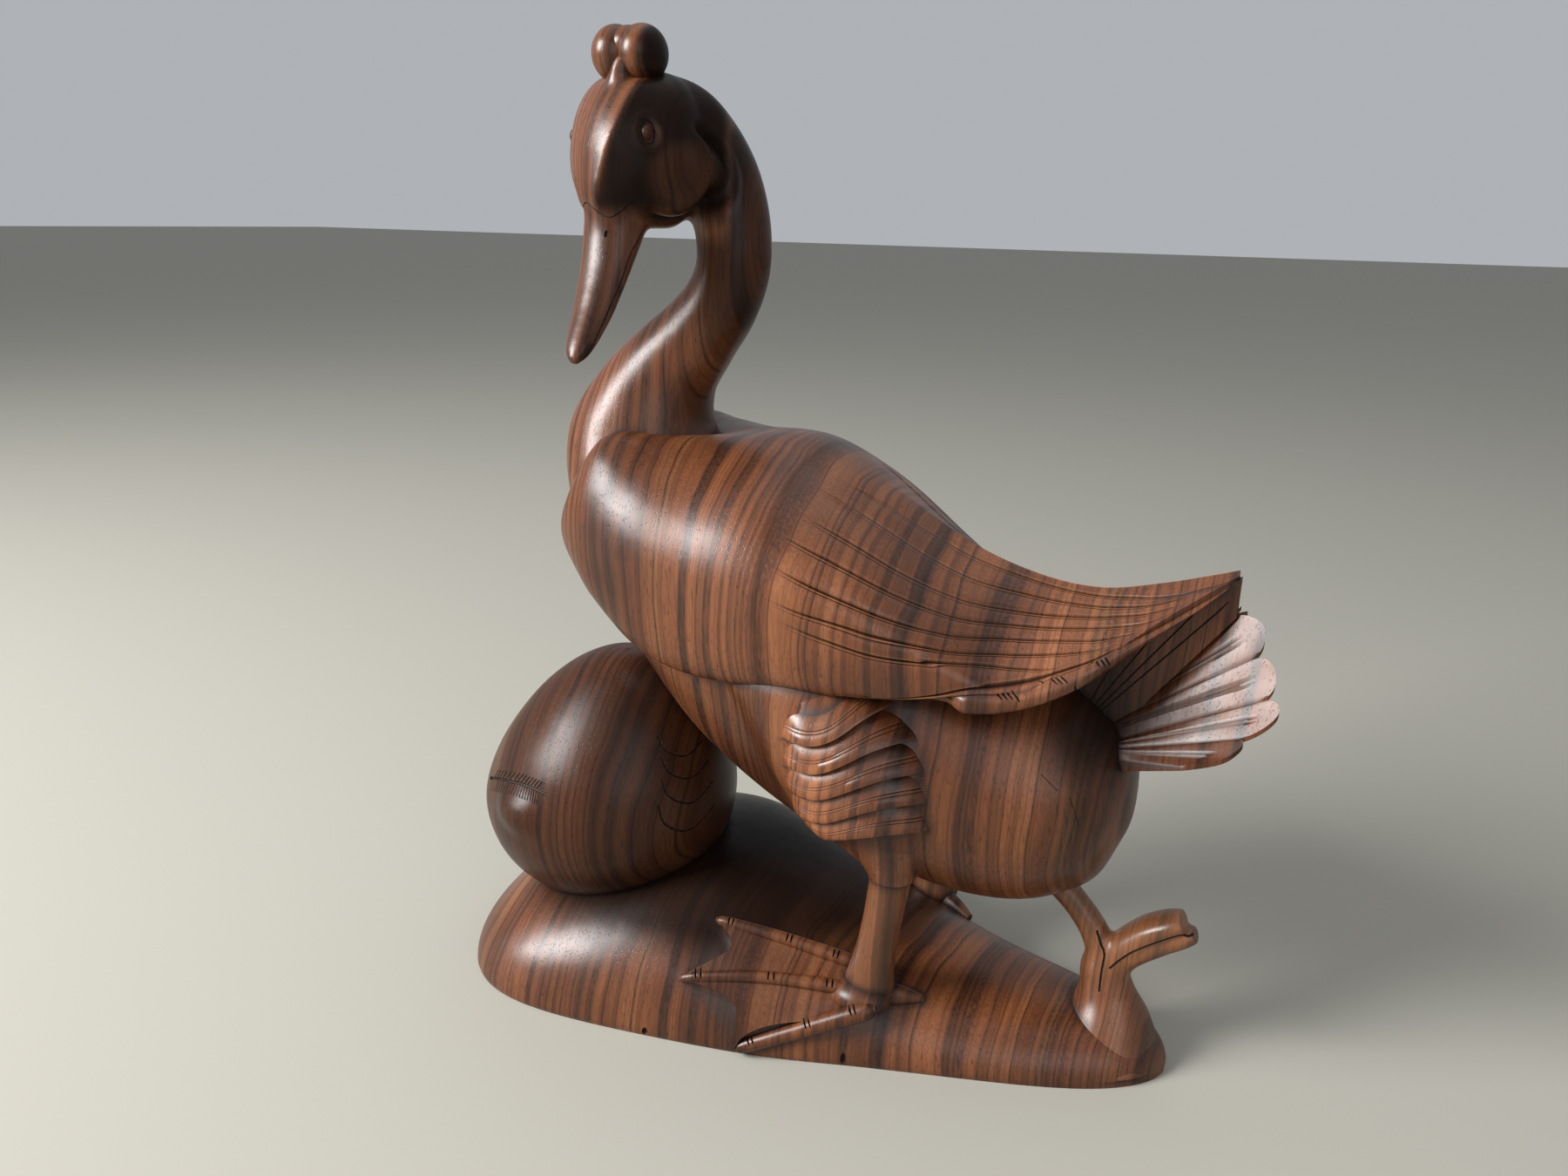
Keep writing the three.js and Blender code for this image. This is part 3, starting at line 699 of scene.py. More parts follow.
def carve(piece: Piece, cutter: Piece) -> None:
    """Cuts one solid out of another, which keeps the cutter's finish in the cut.

    Args:
        piece: The piece that is cut.
        cutter: The solid that is taken out, which is then removed.
    """
    faces = len(piece.data.polygons)
    modified(piece, "BOOLEAN", operation="DIFFERENCE", solver="MANIFOLD",
             material_mode="TRANSFER", object=cutter)
    bpy.data.objects.remove(cutter)
    log.info("carved %s: %d faces, was %d", piece.name, len(piece.data.polygons), faces)


def relax(piece: Piece, rounds: int, centre: Array | None = None, radius: float = 0.0) -> None:
    """Evens a piece's surface out, all over or round one place.

    Args:
        piece: The piece.
        rounds: How many times each point moves towards its neighbours.
        centre: The middle of the place that is evened out.
        radius: How far from there the evening reaches.
    """
    mesh = piece.data
    points = places(mesh)
    ends, others = links(mesh)
    weight = np.full(len(points), 0.5)
    if centre is not None:
        away = np.linalg.norm(points - centre, axis=1) / radius
        weight = 0.5 * smooth(2 - 2 * away)
        moving = (weight[ends] > 0) | (weight[others] > 0)
        ends, others = ends[moving], others[moving]
    number = np.maximum(np.bincount(ends, minlength=len(points)), 1)
    for _ in range(rounds):
        for axis in range(3):
            total = np.bincount(ends, weights=points[others, axis], minlength=len(points))
            points[:, axis] += weight * (total / number - points[:, axis])
    put(mesh, points)


class Ground:
    """The surface of a piece, for setting carved marks on it."""

    def __init__(self, piece: Piece) -> None:
        """Reads the piece's present surface."""
        bpy.context.view_layer.update()
        self.tree = BVHTree.FromObject(piece, bpy.context.evaluated_depsgraph_get())

    def nearest(self, place: Sequence[float]) -> tuple[Array, Array]:
        """The nearest point of the surface and the direction out of it there."""
        spot, normal, _, _ = self.tree.find_nearest(Vector(place) * MM)
        return np.array(spot) / MM, np.array(normal)

    def path(self, rows: Sequence[Sequence[float]], count: int) -> Array:
        """Points on the surface along a smooth line.

        Args:
            rows: Places near the surface that the line passes.
            count: How many points to give.

        Returns:
            The points as x, y, z.
        """
        line = track(counted(rows))(np.linspace(0, len(rows) - 1, count))
        return np.array([self.nearest(place)[0] for place in line])


# Carving tools


class Tip(Enum):
    """The two shapes of cut."""

    GOUGE = "gouge"
    KNIFE = "knife"


def add_node(tree: Tree, kind: str, inputs: dict | None = None,
             **settings: object) -> bpy.types.Node:
    """Adds a node with its settings, input values and links.

    Args:
        tree: The node tree.
        kind: The node's type.
        inputs: Values or sockets for its inputs, by name or place.
        **settings: Properties of the node.

    Returns:
        The node.
    """
    node = tree.nodes.new(kind)
    for key, value in settings.items():
        setattr(node, key, value)
    for key, value in (inputs or {}).items():
        if isinstance(value, Socket):
            tree.links.new(value, node.inputs[key])
        else:
            node.inputs[key].default_value = value
    return node


def named_field(tree: Tree, name: str, kind: str) -> Socket:
    """The socket of an attribute that the points carry."""
    node = add_node(tree, "GeometryNodeInputNamedAttribute", {"Name": name}, data_type=kind)
    return node.outputs["Attribute"]


def tool_tree(tip: Tip, finish: Material) -> Tree:
    """Builds the tree that turns marks into cutters.

    Args:
        tip: A gouge makes one boat-shaped cut on each point, a knife one cut along each line.
        finish: The finish that the cut shows.

    Returns:
        The geometry node tree, with the inputs Width and Depth.
    """
    tree = bpy.data.node_groups.new(f"{tip.value}_cuts", "GeometryNodeTree")
    sides = ("INPUT", "OUTPUT")
    for side in sides:
        tree.interface.new_socket("Geometry", in_out=side, socket_type="NodeSocketGeometry")
    for name in ("Width", "Depth"):
        tree.interface.new_socket(name, in_out="INPUT", socket_type="NodeSocketFloat")
    source = add_node(tree, "NodeGroupInput")
    if tip is Tip.GOUGE:
        boat = add_node(tree, "GeometryNodeMeshUVSphere", {"Segments": 10, "Rings": 6,
                                                            "Radius": 1.0})
        upright = add_node(tree, "FunctionNodeAlignRotationToVector",
                           {"Vector": named_field(tree, "out", "FLOAT_VECTOR")}, axis="Z")
        turned = add_node(
            tree, "FunctionNodeAlignRotationToVector",
            {"Rotation": upright.outputs[0], "Vector": named_field(tree, "along", "FLOAT_VECTOR")},
            axis="X", pivot_axis="Z")
        half = add_node(tree, "ShaderNodeMath", {0: source.outputs["Width"], 1: 0.5},
                        operation="MULTIPLY")
        size = add_node(tree, "ShaderNodeCombineXYZ",
                        {"X": named_field(tree, "reach", "FLOAT"), "Y": half.outputs[0],
                         "Z": source.outputs["Depth"]})
        spread = add_node(tree, "GeometryNodeInstanceOnPoints",
                          {"Points": source.outputs["Geometry"], "Instance": boat.outputs["Mesh"],
                           "Rotation": turned.outputs[0], "Scale": size.outputs[0]})
        made = spread.outputs["Instances"]
    else:
        line = add_node(tree, "GeometryNodeMeshToCurve", {"Mesh": source.outputs["Geometry"]})
        tapered = add_node(tree, "GeometryNodeSetCurveRadius",
                           {"Curve": line.outputs["Curve"],
                            "Radius": named_field(tree, "reach", "FLOAT")})
        round_bar = add_node(tree, "GeometryNodeCurvePrimitiveCircle",
                             {"Resolution": 6, "Radius": source.outputs["Depth"]})
        swept = add_node(tree, "GeometryNodeCurveToMesh",
                         {"Curve": tapered.outputs["Curve"],
                          "Profile Curve": round_bar.outputs["Curve"], "Fill Caps": True})
        made = swept.outputs["Mesh"]
    real = add_node(tree, "GeometryNodeRealizeInstances", {"Geometry": made})
    finished = add_node(tree, "GeometryNodeSetMaterial",
                        {"Geometry": real.outputs["Geometry"], "Material": finish})
    add_node(tree, "NodeGroupOutput", {"Geometry": finished.outputs["Geometry"]})
    return tree


class CarvingTool:
    """Gouge and knife cuts, each batch a solid that is cut out of a piece."""

    def __init__(self, finish: Material) -> None:
        """Builds the two trees that shape the cuts."""
        self.trees = {tip: tool_tree(tip, finish) for tip in Tip}

    def cutter(self, tip: Tip, mesh: Mesh, width: float, depth: float) -> Piece:
        """Turns marks into a solid to cut with.

        Args:
            tip: The kind of cut.
            mesh: The marks, with their directions and lengths.
            width: Width of a gouge cut in millimetres.
            depth: Depth of a cut in millimetres.

        Returns:
            The solid.
        """
        made = bpy.data.objects.new("cutter", mesh)
        bpy.context.scene.collection.objects.link(made)
        shaping = made.modifiers.new("cuts", "NODES")
        shaping.node_group = self.trees[tip]
        for item in self.trees[tip].interface.items_tree:
            if item.name in ("Width", "Depth"):
                shaping[item.identifier] = (width if item.name == "Width" else depth) * MM
        return settled(made)

    def gouge(self, piece: Piece, marks: Sequence[tuple[Array, Array]],
              width: float, depth: float) -> None:
        """Cuts short boat-shaped marks into a piece.

        Args:
            piece: The piece.
            marks: Where each mark starts and ends, near the surface.
            width: Width of a mark in millimetres.
            depth: Its depth at the middle.
        """
        ground = Ground(piece)
        spots = [ground.nearest((np.asarray(a, float) + b) / 2) for a, b in marks]
        lines = np.array([np.asarray(b, float) - a for a, b in marks])
        reach = np.linalg.norm(lines, axis=1)
        mesh = bpy.data.meshes.new("marks")
        mesh.vertices.add(len(marks))
        put(mesh, np.array([spot for spot, _ in spots]))
        write_points(mesh, "along", lines / reach[:, None])
        write_points(mesh, "out", np.array([out for _, out in spots]))
        write_points(mesh, "reach", reach / 2 * MM)
        carve(piece, self.cutter(Tip.GOUGE, mesh, width, depth))

    def score(self, piece: Piece, lines: Sequence[Array], depth: float,
              closed: bool = False) -> None:
        """Cuts thin lines into a piece.

        Args:
            piece: The piece.
            lines: Points on the surface along each line.
            depth: Half the width of the cut, and its depth, in millimetres.
            closed: Whether each line runs round to its start.
        """
        mesh = bpy.data.meshes.new("lines")
        offsets = np.cumsum([0] + [len(line) for line in lines])
        mesh.vertices.add(int(offsets[-1]))
        put(mesh, np.vstack(lines))
        pairs = []
        reach = []
        for line, offset in zip(lines, offsets):
            count = len(line)
            pairs += [(offset + i, offset + i + 1) for i in range(count - 1)]
            if closed:
                pairs.append((offset + count - 1, offset))
                reach.append(np.ones(count))
            else:
                share = np.linspace(0, 1, count)
                reach.append(0.25 + 0.75 * smooth(share * 5) * smooth((1 - share) * 5))
        mesh.edges.add(len(pairs))
        mesh.edges.foreach_set("vertices", np.array(pairs, dtype=np.int32).reshape(-1))
        mesh.update()
        write_points(mesh, "reach", np.concatenate(reach))
        carve(piece, self.cutter(Tip.KNIFE, mesh, 2 * depth, depth))


# Finishes


def linear(code: str) -> tuple[float, float, float, float]:
    """A hex colour as linear red, green, blue and alpha."""
    shares = [int(code[i:i + 2], 16) / 255 for i in (1, 3, 5)]
    parts = [v / 12.92 if v <= 0.04045 else ((v + 0.055) / 1.055) ** 2.4 for v in shares]
    return parts[0], parts[1], parts[2], 1.0


def ramp(tree: Tree, factor: Socket, stops: Sequence[tuple[float, str]]) -> Socket:
    """Adds a colour ramp.

    Args:
        tree: The node tree.
        factor: The socket that runs along the ramp.
        stops: Places from 0 to 1 and their hex colours.

    Returns:
        The colour socket.
    """
    node = add_node(tree, "ShaderNodeValToRGB", {"Fac": factor})
    marks = node.color_ramp.elements
    while len(marks) < len(stops):
        marks.new(0.5)
    for mark, (place, code) in zip(marks, stops):
        mark.position = place
        mark.color = linear(code)
    return node.outputs["Color"]


def sums(tree: Tree, operation: str, *values: object) -> Socket:
    """The result of one arithmetic step on numbers or sockets."""
    node = add_node(tree, "ShaderNodeMath", dict(enumerate(values)), operation=operation)
    return node.outputs[0]


def blended(tree: Tree, share: object, base: object, over: object, blend: str = "MIX") -> Socket:
    """One colour laid over another."""
    node = add_node(tree, "ShaderNodeMix", {0: share, 6: base, 7: over},
                    data_type="RGBA", blend_type=blend)
    return node.outputs[2]


def noise(tree: Tree, place: Socket, size: float, detail: float,
          rough: float = 0.5, kind: str = "3D") -> Socket:
    """Adds a cloudy noise.

    Args:
        tree: The node tree.
        place: The socket that the noise runs over.
        size: The size of its clouds in millimetres.
        detail: How many finer layers it has.
        rough: How strong the finer layers are.
        kind: 3D over a place or 1D over a number.

    Returns:
        The socket, from 0 to 1.
    """
    over = "W" if kind == "1D" else "Vector"
    values = {over: place, "Scale": 1 / (size * MM), "Detail": detail, "Roughness": rough}
    node = add_node(tree, "ShaderNodeTexNoise", values, noise_dimensions=kind)
    return node.outputs["Fac"]


def new_material(name: str) -> tuple[Material, Socket]:
    """An empty material and the socket of the surface's place in it."""
    material = bpy.data.materials.new(name)
    material.use_nodes = True
    material.node_tree.nodes.clear()
    return material, add_node(material.node_tree, "ShaderNodeTexCoord").outputs["Object"]


@dataclass(frozen=True)
class StreakedRosewood:
    """Rosewood, carved, scraped and rubbed with oil and wax.

    It gives the eye upright soft bands of warm brown where the growth rings run out, a few thin
    near-black lines, fibres and dark pores along the grain, a broad soft sheen, dark old wax in
    every hollow and paler wood on the worn edges. The heart of the block is nearly black. Painted
    shade in the angles between pieces, on the keel and on shaded sides is laid on in the same dark
    colours.
    """

    name: str = "oiled_rosewood"
    deep: str = "#140b08"
    heartwood_and_shade: str = "#160e0b"
    dark: str = "#351f14"
    middle: str = "#633820"
    light: str = "#794729"
    pale: str = "#8a5b38"
    worn: str = "#b58258"
    shade: str = "#a49a94"
    stops: tuple[float, ...] = (0.24, 0.4, 0.58, 0.78)
    ring: float = 15.0
    dark_lines: Rows = ((13.0, 0.03, 0.9), (5.0, 0.045, 0.5))
    patch: float = 45.0
    drift: tuple[float, ...] = (0.8, 0.8, 0.45)
    fibre: float = 1.1
    fibre_length: float = 14.0
    fibre_share: float = 0.35
    pore: float = 0.7
    pore_length: float = 5.0
    wander: float = 30.0
    wander_size: float = 80.0
    roughness: float = 0.34

    def grain(self, tree: Tree, place: Socket, size: float, length: float, detail: float) -> Socket:
        """A noise that is drawn out along the grain.

        Args:
            tree: The node tree.
            place: The socket of the surface's place.
            size: Width of a fibre in millimetres.
            length: Its length in millimetres.
            detail: How many finer layers it has.

        Returns:
            The socket, from 0 to 1.
        """
        across, along = 1 / (size * MM), 1 / (length * MM)
        drawn = add_node(tree, "ShaderNodeMapping",
                         {"Vector": place, "Scale": (across, across, along)})
        return noise(tree, drawn.outputs[0], 1 / MM, detail)

    def lines(self, tree: Tree, growth: Socket, size: float, width: float) -> Socket:
        """Thin lines where a noise over the growth rings passes its middle.

        Args:
            tree: The node tree.
            growth: The socket that runs across the rings.
            size: Usual distance between lines in millimetres.
            width: How wide they are, as a share of the noise.

        Returns:
            The socket, 1 in the middle of a line.
        """
        value = noise(tree, growth, size, 1.0, kind="1D")
        off = sums(tree, "ABSOLUTE", sums(tree, "SUBTRACT", value, 0.5))
        line = sums(tree, "SUBTRACT", 1.0, sums(tree, "DIVIDE", off, width))
        return sums(tree, "MAXIMUM", line, 0.0)

    def tone(self, tree: Tree, place: Socket) -> Socket:
        """The colour of clean wood.

        Args:
            tree: The node tree.
            place: The socket of the surface's place.

        Returns:
            The colour socket.
        """
        x = add_node(tree, "ShaderNodeSeparateXYZ", {0: place}).outputs["X"]
        drawn = add_node(tree, "ShaderNodeMapping", {"Vector": place, "Scale": self.drift})
        drift = drawn.outputs[0]
        wander = noise(tree, drift, self.wander_size, 3.0, 0.42)
        shift = sums(tree, "MULTIPLY", sums(tree, "SUBTRACT", wander, 0.5), self.wander * MM)
        growth = sums(tree, "ADD", x, shift)
        bands = noise(tree, growth, self.ring, 2.5, 0.55, "1D")
        fibre = self.grain(tree, place, self.fibre, self.fibre_length, 2.0)
        mixed = sums(tree, "MULTIPLY_ADD", sums(tree, "SUBTRACT", fibre, 0.5), self.fibre_share,
                     bands)
        browns = (self.dark, self.middle, self.light, self.pale)
        tone = ramp(tree, mixed, tuple(zip(self.stops, browns)))
        patches = noise(tree, drift, self.patch, 2.0)
        shade = ramp(tree, patches, ((0.36, self.shade), (0.62, "#ffffff")))
        tone = blended(tree, 0.8, tone, shade, "MULTIPLY")
        for size, width, strength in self.dark_lines:
            line = self.lines(tree, growth, size, width)
            kept = sums(tree, "MULTIPLY", line, sums(tree, "MULTIPLY", fibre, 1.5))
            tone = blended(tree, sums(tree, "MULTIPLY", kept, strength), tone, linear(self.deep))
        return tone

    def make(self) -> Material:
        """Builds the material.

        Returns:
            The material.
        """
        material, place = new_material(self.name)
        tree = material.node_tree
        tone = self.tone(tree, place)
        carved_and_shaded, crease_wax_and_shade, heartwood_and_shade, worn = (
            add_node(tree, "ShaderNodeAttribute", attribute_name=name).outputs["Fac"]
            for name in ("carved_and_shaded", "crease_wax_and_shade", "heartwood_and_shade", "worn"))
        # The near-black heart colour stands for dark heartwood, and also paints shade on the head,
        # neck, rump, tail root, mound top and gosling.
        tone = blended(tree, heartwood_and_shade, tone, linear(self.heartwood_and_shade))
        pores = self.grain(tree, place, self.pore, self.pore_length, 1.0)
        dash = add_node(tree, "ShaderNodeMapRange", {0: pores, 1: 0.62, 2: 0.72}).outputs[0]
        tone = blended(tree, sums(tree, "MULTIPLY", dash, 0.5), tone, linear(self.deep))
        tone = blended(tree, sums(tree, "MULTIPLY", worn, 0.5), tone, linear(self.worn))
        # Dark wax in the cuts and creases, with painted shade between pieces and on the keel,
        # darkens the wood and dulls its gloss.
        cut_wax_and_shade = sums(tree, "MAXIMUM", carved_and_shaded, crease_wax_and_shade)
        tone = blended(tree, sums(tree, "MULTIPLY", cut_wax_and_shade, 0.88), tone, linear(self.deep))
        hand = noise(tree, place, 13, 1.5)
        gloss = sums(tree, "MULTIPLY_ADD", hand, 0.16, self.roughness - 0.08)
        gloss = sums(tree, "MULTIPLY_ADD", cut_wax_and_shade, 0.25, gloss)
        dull = sums(tree, "MULTIPLY_ADD", heartwood_and_shade, -0.42, 0.5)
        soft = add_node(tree, "ShaderNodeBump",
                        {"Strength": 0.4, "Distance": 0.6 * MM, "Height": hand})
        fine = add_node(tree, "ShaderNodeBump",
                        {"Strength": 0.3, "Distance": 0.1 * MM, "Height": dash,
                         "Normal": soft.outputs[0]}, invert=True)
        shader = add_node(tree, "ShaderNodeBsdfPrincipled",
                          {"Base Color": tone, "Roughness": gloss, "Normal": fine.outputs[0],
                           "IOR": 1.46, "Specular IOR Level": dull})
        add_node(tree, "ShaderNodeOutputMaterial", {"Surface": shader.outputs[0]})
        return material


@dataclass(frozen=True)
class WaxedCut:
    """Bare rosewood at the bottom of a cut, filled with old dark wax.

    It gives the eye a dull, nearly black line with a little brown in it.
    """

    name: str = "waxed_cut"
    dark: str = "#120a08"
    brown: str = "#28170f"
    roughness: float = 0.62

    def make(self) -> Material:
        """Builds the material.

        Returns:
            The material.
        """
        material, place = new_material(self.name)
        tree = material.node_tree
        tone = ramp(tree, noise(tree, place, 1.5, 2.0), [(0.4, self.dark), (0.65, self.brown)])
        shader = add_node(tree, "ShaderNodeBsdfPrincipled",
                          {"Base Color": tone, "Roughness": self.roughness, "IOR": 1.5,
                           "Specular IOR Level": 0.2})
        add_node(tree, "ShaderNodeOutputMaterial", {"Surface": shader.outputs[0]})
        return material


# The carving's sub-assemblies


@dataclass(frozen=True)
class CarvedPiece:
    """A piece of the carving, with the tool that cuts its marks."""

    tool: CarvingTool


@dataclass(frozen=True)
class Mound(CarvedPiece):
    """The domed ground that everything stands on."""

    lengths: int = 150
    arcs: int = 130
    inset: float = 0.4
    edge: float = 2.2
    recess: float = 3.4

    def hollows(self, x: Array, y: Array) -> Array:
        """How deep the ground is cut away in front of the webs.

        Args:
            x: Places along the carving.
            y: Places across it, on either side.

        Returns:
            The depth in millimetres.
        """
        depth = np.zeros_like(x)
        for number, drawn in enumerate(WEB_SCOOPS):
            middle = np.mean(TOE_ROOTS[number:number + 2], axis=0)
            place = np.stack([x - middle[0], -np.abs(y) - middle[1]], axis=-1)
            frame = np.array(TOE_TIPS[number:number + 2]) - middle
            shares = place @ np.linalg.inv(frame)
            t = shares.sum(axis=-1)
            part = shares[..., 1] / np.where(np.abs(t) < 1e-6, 1, t)
            scoop = 1 - drawn * np.abs(np.sin(np.pi * np.clip(part, 0, 1)))
            inside = smooth(part / 0.12) * smooth((1 - part) / 0.12)
            cut = smooth((t - scoop + 0.05) / 0.03) * smooth((1.1 - t) / 0.2) * inside
            depth = np.maximum(depth, cut * (t > 0) * self.recess)
        return depth

    def build(self) -> Piece:
        """Builds the mound with the chips in its lower edge.

        Returns:
            The piece.
        """
        x = mix(MOUND_ENDS[0] + self.inset, MOUND_ENDS[1] - self.inset, eased(self.lengths))
        left, right, high = (mound_sizes(x)[:, k, None] for k in range(3))
        angle = np.pi * np.linspace(0, 1, self.arcs + 1)
        across = np.sign(np.cos(angle)) * np.abs(np.cos(angle)) ** (2 / MOUND_POWER)
        y = np.where(across < 0, left, right) * across
        z = high * np.sin(angle).clip(0) ** (2 / MOUND_POWER)
        wide = np.broadcast_to(x[:, None], y.shape)
        sunk = self.hollows(wide, y) * smooth(z / 4)
        tuck = self.edge * (1 - smooth(z / self.edge)) * 0.5
        points = np.stack([wide, y * (1 - tuck / 90), z - sunk], axis=-1)
        carved_and_shaded = 0.75 * sunk / self.recess
        piece = to_object("mound", skin(points, carved_and_shaded))
        self.tool.gouge(piece, MOUND_CHIPS, 2.4, 1.4)
        return piece


@dataclass(frozen=True)
class GooseBody(CarvedPiece):
    """The trunk, thighs, shanks, neck, head, bill and crest, run together as one skin."""

    spacing: float = 1.477
    crest_place: tuple[float, float, float] = (8, -0.5, 33)
    crest_lobe: tuple[float, float, float] = (11.5, 9.0, 10.5)
    crest_spread: float = 5.6
    far_cheek: float = 0.3
    crest_bridge: tuple[float, float, float] = (9.5, 7.5, 7.2)
    crest_stem: Rows = ((12.0, 3.5, 15.5, 6.0), (14.6, 2, 22.0, 4.4), (14.8, -0.5, 28, 3.9),
                        (11.5, -2, 34, 3.4))
    ridge_height: float = 2.6
    ridge_reach: float = 6.0
    cheek_middle: tuple[float, float] = (9.0, -9.5)
    cheek_radius: float = 16.0
    eye_place: tuple[float, float, float] = (21.7, -15.3, 4.0)
    far_eye: tuple[float, float, float] = (7.0, 25.5, 4.0)
    eye_size: tuple[float, float, float] = (2.6, 3.1, 2.5)
    socket: float = 5.0

    def head(self) -> Surface:
        """The head without its bill."""
        up, behind, front, half = track(counted(HEAD_ROWS))(
            np.linspace(0, len(HEAD_ROWS) - 1, 61)).T[:, :, None]
        angle = turns(72)
        along = np.where(np.sin(angle) > 0, front, -behind) * np.sin(angle)
        taper = 1 - 0.22 * np.maximum(np.sin(angle), 0) ** 2
        return skin(in_head(along, half * np.cos(angle) * taper, up))

    def bill(self) -> Surface:
        """The straight bill, a little flattened."""
        rows = [[*in_head(forward, BILL_ASIDE, up), half, below, above]
                for forward, up, half, above, below in BILL_ROWS]
        return tube(rows, 60, 40, ASIDE)

    def crest(self) -> list[Surface]:
        """The two lobes on the crown and what joins them."""
        forward, across, up = self.crest_place
        frame = np.array([AHEAD, ASIDE, UP])
        lobes = [ball(in_head(forward, across + side * self.crest_spread, up),
                      frame * np.array(self.crest_lobe)[:, None], 72) for side in (-1, 1)]
        lobes.append(ball(in_head(forward, across, up + 2.8),
                          frame * np.array(self.crest_bridge)[:, None], 60))
        return lobes

    def stem(self) -> Surface:
        """The stem that carries the crest."""
        rows = [[*in_head(*row[:3]), row[3], row[3], row[3]] for row in self.crest_stem]
        return tube(rows, 40, 28, ASIDE)

    def thigh(self) -> Surface:
        """The thigh under its feathers."""
        z = np.linspace(THIGH_ROWS[0][0], THIGH_ROWS[-1][0], 60)[:, None]
        x, y, along_x, along_y = np.moveaxis(track(THIGH_ROWS)(z), -1, 0)
        angle = turns(64)
        points = (x + along_x * np.cos(angle), y + along_y * np.sin(angle), z + 0 * angle)
        return skin(np.stack(points, axis=-1))

    def forehead(self, points: Array) -> Array:
        """How far a soft ridge beside the forehead stands out."""
        forward, side, up = head_parts(points)
        ridge = track(BROW_ROWS)(up)[:, 0]
        fade = smooth((up + 26) / 8) * smooth((27 - up) / 8) * smooth((forward - 2) / 8)
        return self.ridge_height * fade * np.exp(-np.abs(side - ridge) / self.ridge_reach)

    def cheeks(self, points: Array) -> tuple[Array, Array]:
        """The rim behind each cheek.

        Args:
            points: Places on the head.

        Returns:
            How far each stands out, and how dark the step below the rim is.
        """
        forward, side, up = head_parts(points)
        away_x, away_z = forward - self.cheek_middle[0], up - self.cheek_middle[1]
        out = np.hypot(away_x, away_z) - self.cheek_radius
        angle = np.degrees(np.arctan2(away_z, away_x)) % 360
        arc = smooth((angle - 95) / 45) * smooth((318 - angle) / 35)
        beside = smooth((np.abs(side) - 8) / 7) * (np.abs(out) < 14)
        beside = beside * np.where(side > 0, self.far_cheek, 1)
        swell = 2.6 * np.exp(-((out + 3.4) / 3.6) ** 2)
        step = np.exp(-((out - 2.0) / 2.0) ** 2)
        return (swell - 3.4 * step) * arc * beside, 0.9 * step * arc * beside

    def sockets(self, points: Array) -> Array:
        """How far the lids round the near eye stand out."""
        forward, side, up = head_parts(points)
        place = self.eye_place
        away = np.stack([forward - place[0], side - place[1], up - place[2]])
        out = np.linalg.norm(away * np.array([[1.15], [1.0], [0.8]]), axis=0)
        rim = 0.6 * np.exp(-((out - self.socket) / 1.2) ** 2)
        return rim - 0.8 * np.exp(-((out / 3.8) ** 2))

    def build(self) -> Piece:
        """Builds the body with its head.

        Returns:
            The piece.
        """
        thigh, shank = self.thigh(), tube(SHANK_ROWS, 40, 36)
        forms = [tube(TRUNK_ROWS, 220, 120), self.head(), self.bill()]
        forms += [thigh, thigh.mirrored(), shank, shank.mirrored(), self.stem()]
        piece = run_together(to_object("goose_body", gathered(forms)), self.spacing)
        relax(piece, 5)
        for place, radius, rounds in SOFTENED:
            relax(piece, rounds, np.asarray(place, float), radius)
        mesh = piece.data
        points = places(mesh)
        cheek, dark = self.cheeks(points)
        near_head = smooth(2.1 - np.linalg.norm(points - HEAD_MIDDLE, axis=1) / 30)
        out = (self.forehead(points) + cheek + self.sockets(points)) * near_head
        put(mesh, points + outward_at(mesh) * out[:, None])
        write_points(mesh, "carved_and_shaded", dark * near_head)
        return unite(piece, [to_object("crest", lobe) for lobe in self.crest()])

    def eye(self, side: int) -> tuple[Surface, Array]:
        """One eye.

        Args:
            side: -1 for the near eye and 1 for the other.

        Returns:
            The ball, and the line of the lid round it.
        """
        forward, across, up = self.eye_place if side < 0 else self.far_eye
        centre = in_head(forward, abs(across) * side, up)
        out = in_head(forward + 4, 3.2 * abs(across) * side, up + 2) - centre
        out /= np.linalg.norm(out)
        tall = UP - out * (out @ UP)
        tall /= np.linalg.norm(tall)
        wide = np.cross(tall, out)
        half_wide, half_tall, half_out = self.eye_size
        axes = np.array([wide * half_wide, tall * half_tall, out * half_out])
        angle = np.linspace(0, 2 * np.pi, 28, endpoint=False)[:, None]
        lid = centre + wide * (half_wide + 0.9) * np.cos(angle)
        lid = lid + tall * (half_tall + 1.1) * np.sin(angle)
        return ball(centre - out * 0.9, axes, 32), lid

    def engrave(self, piece: Piece) -> None:
        """Cuts the eyes, the line at the bill's root, a nostril and the mouth.

        Args:
            piece: The body.
        """
        balls = []
        for side in (-1, 1):
            eye, lid = self.eye(side)
            ground = Ground(piece)
            ring = np.array([ground.nearest(p)[0] for p in lid])
            self.tool.score(piece, [ring], 0.45, closed=True)
            balls.append(to_object("eye", eye))
        unite(piece, balls)
        ground = Ground(piece)
        lines = [ground.path([in_head(*p) for p in BILL_EDGE], 48)]
        for side in (-1, 1):
            shifted = [in_head(f, BILL_ASIDE + side * (BILL_ASIDE - s), u) for f, s, u in MOUTH]
            lines.append(ground.path(shifted, 48))
        self.tool.score(piece, lines[:1], 0.32)
        self.tool.score(piece, lines[1:], 0.4)
        self.tool.gouge(piece, [tuple(in_head(*p) for p in NOSTRIL)], 1.5, 0.9)
        hatch = [(in_head(-4 - 1.7 * k, -14.5 + k, -25.5), in_head(-3 - 1.7 * k, -12.5 + k, -28.5))
                 for k in range(5)]
        self.tool.gouge(piece, hatch, 0.7, 0.5)
        ground = Ground(piece)
        self.tool.score(piece, [ground.path(line, 16) for line in CRACKS], 0.16)


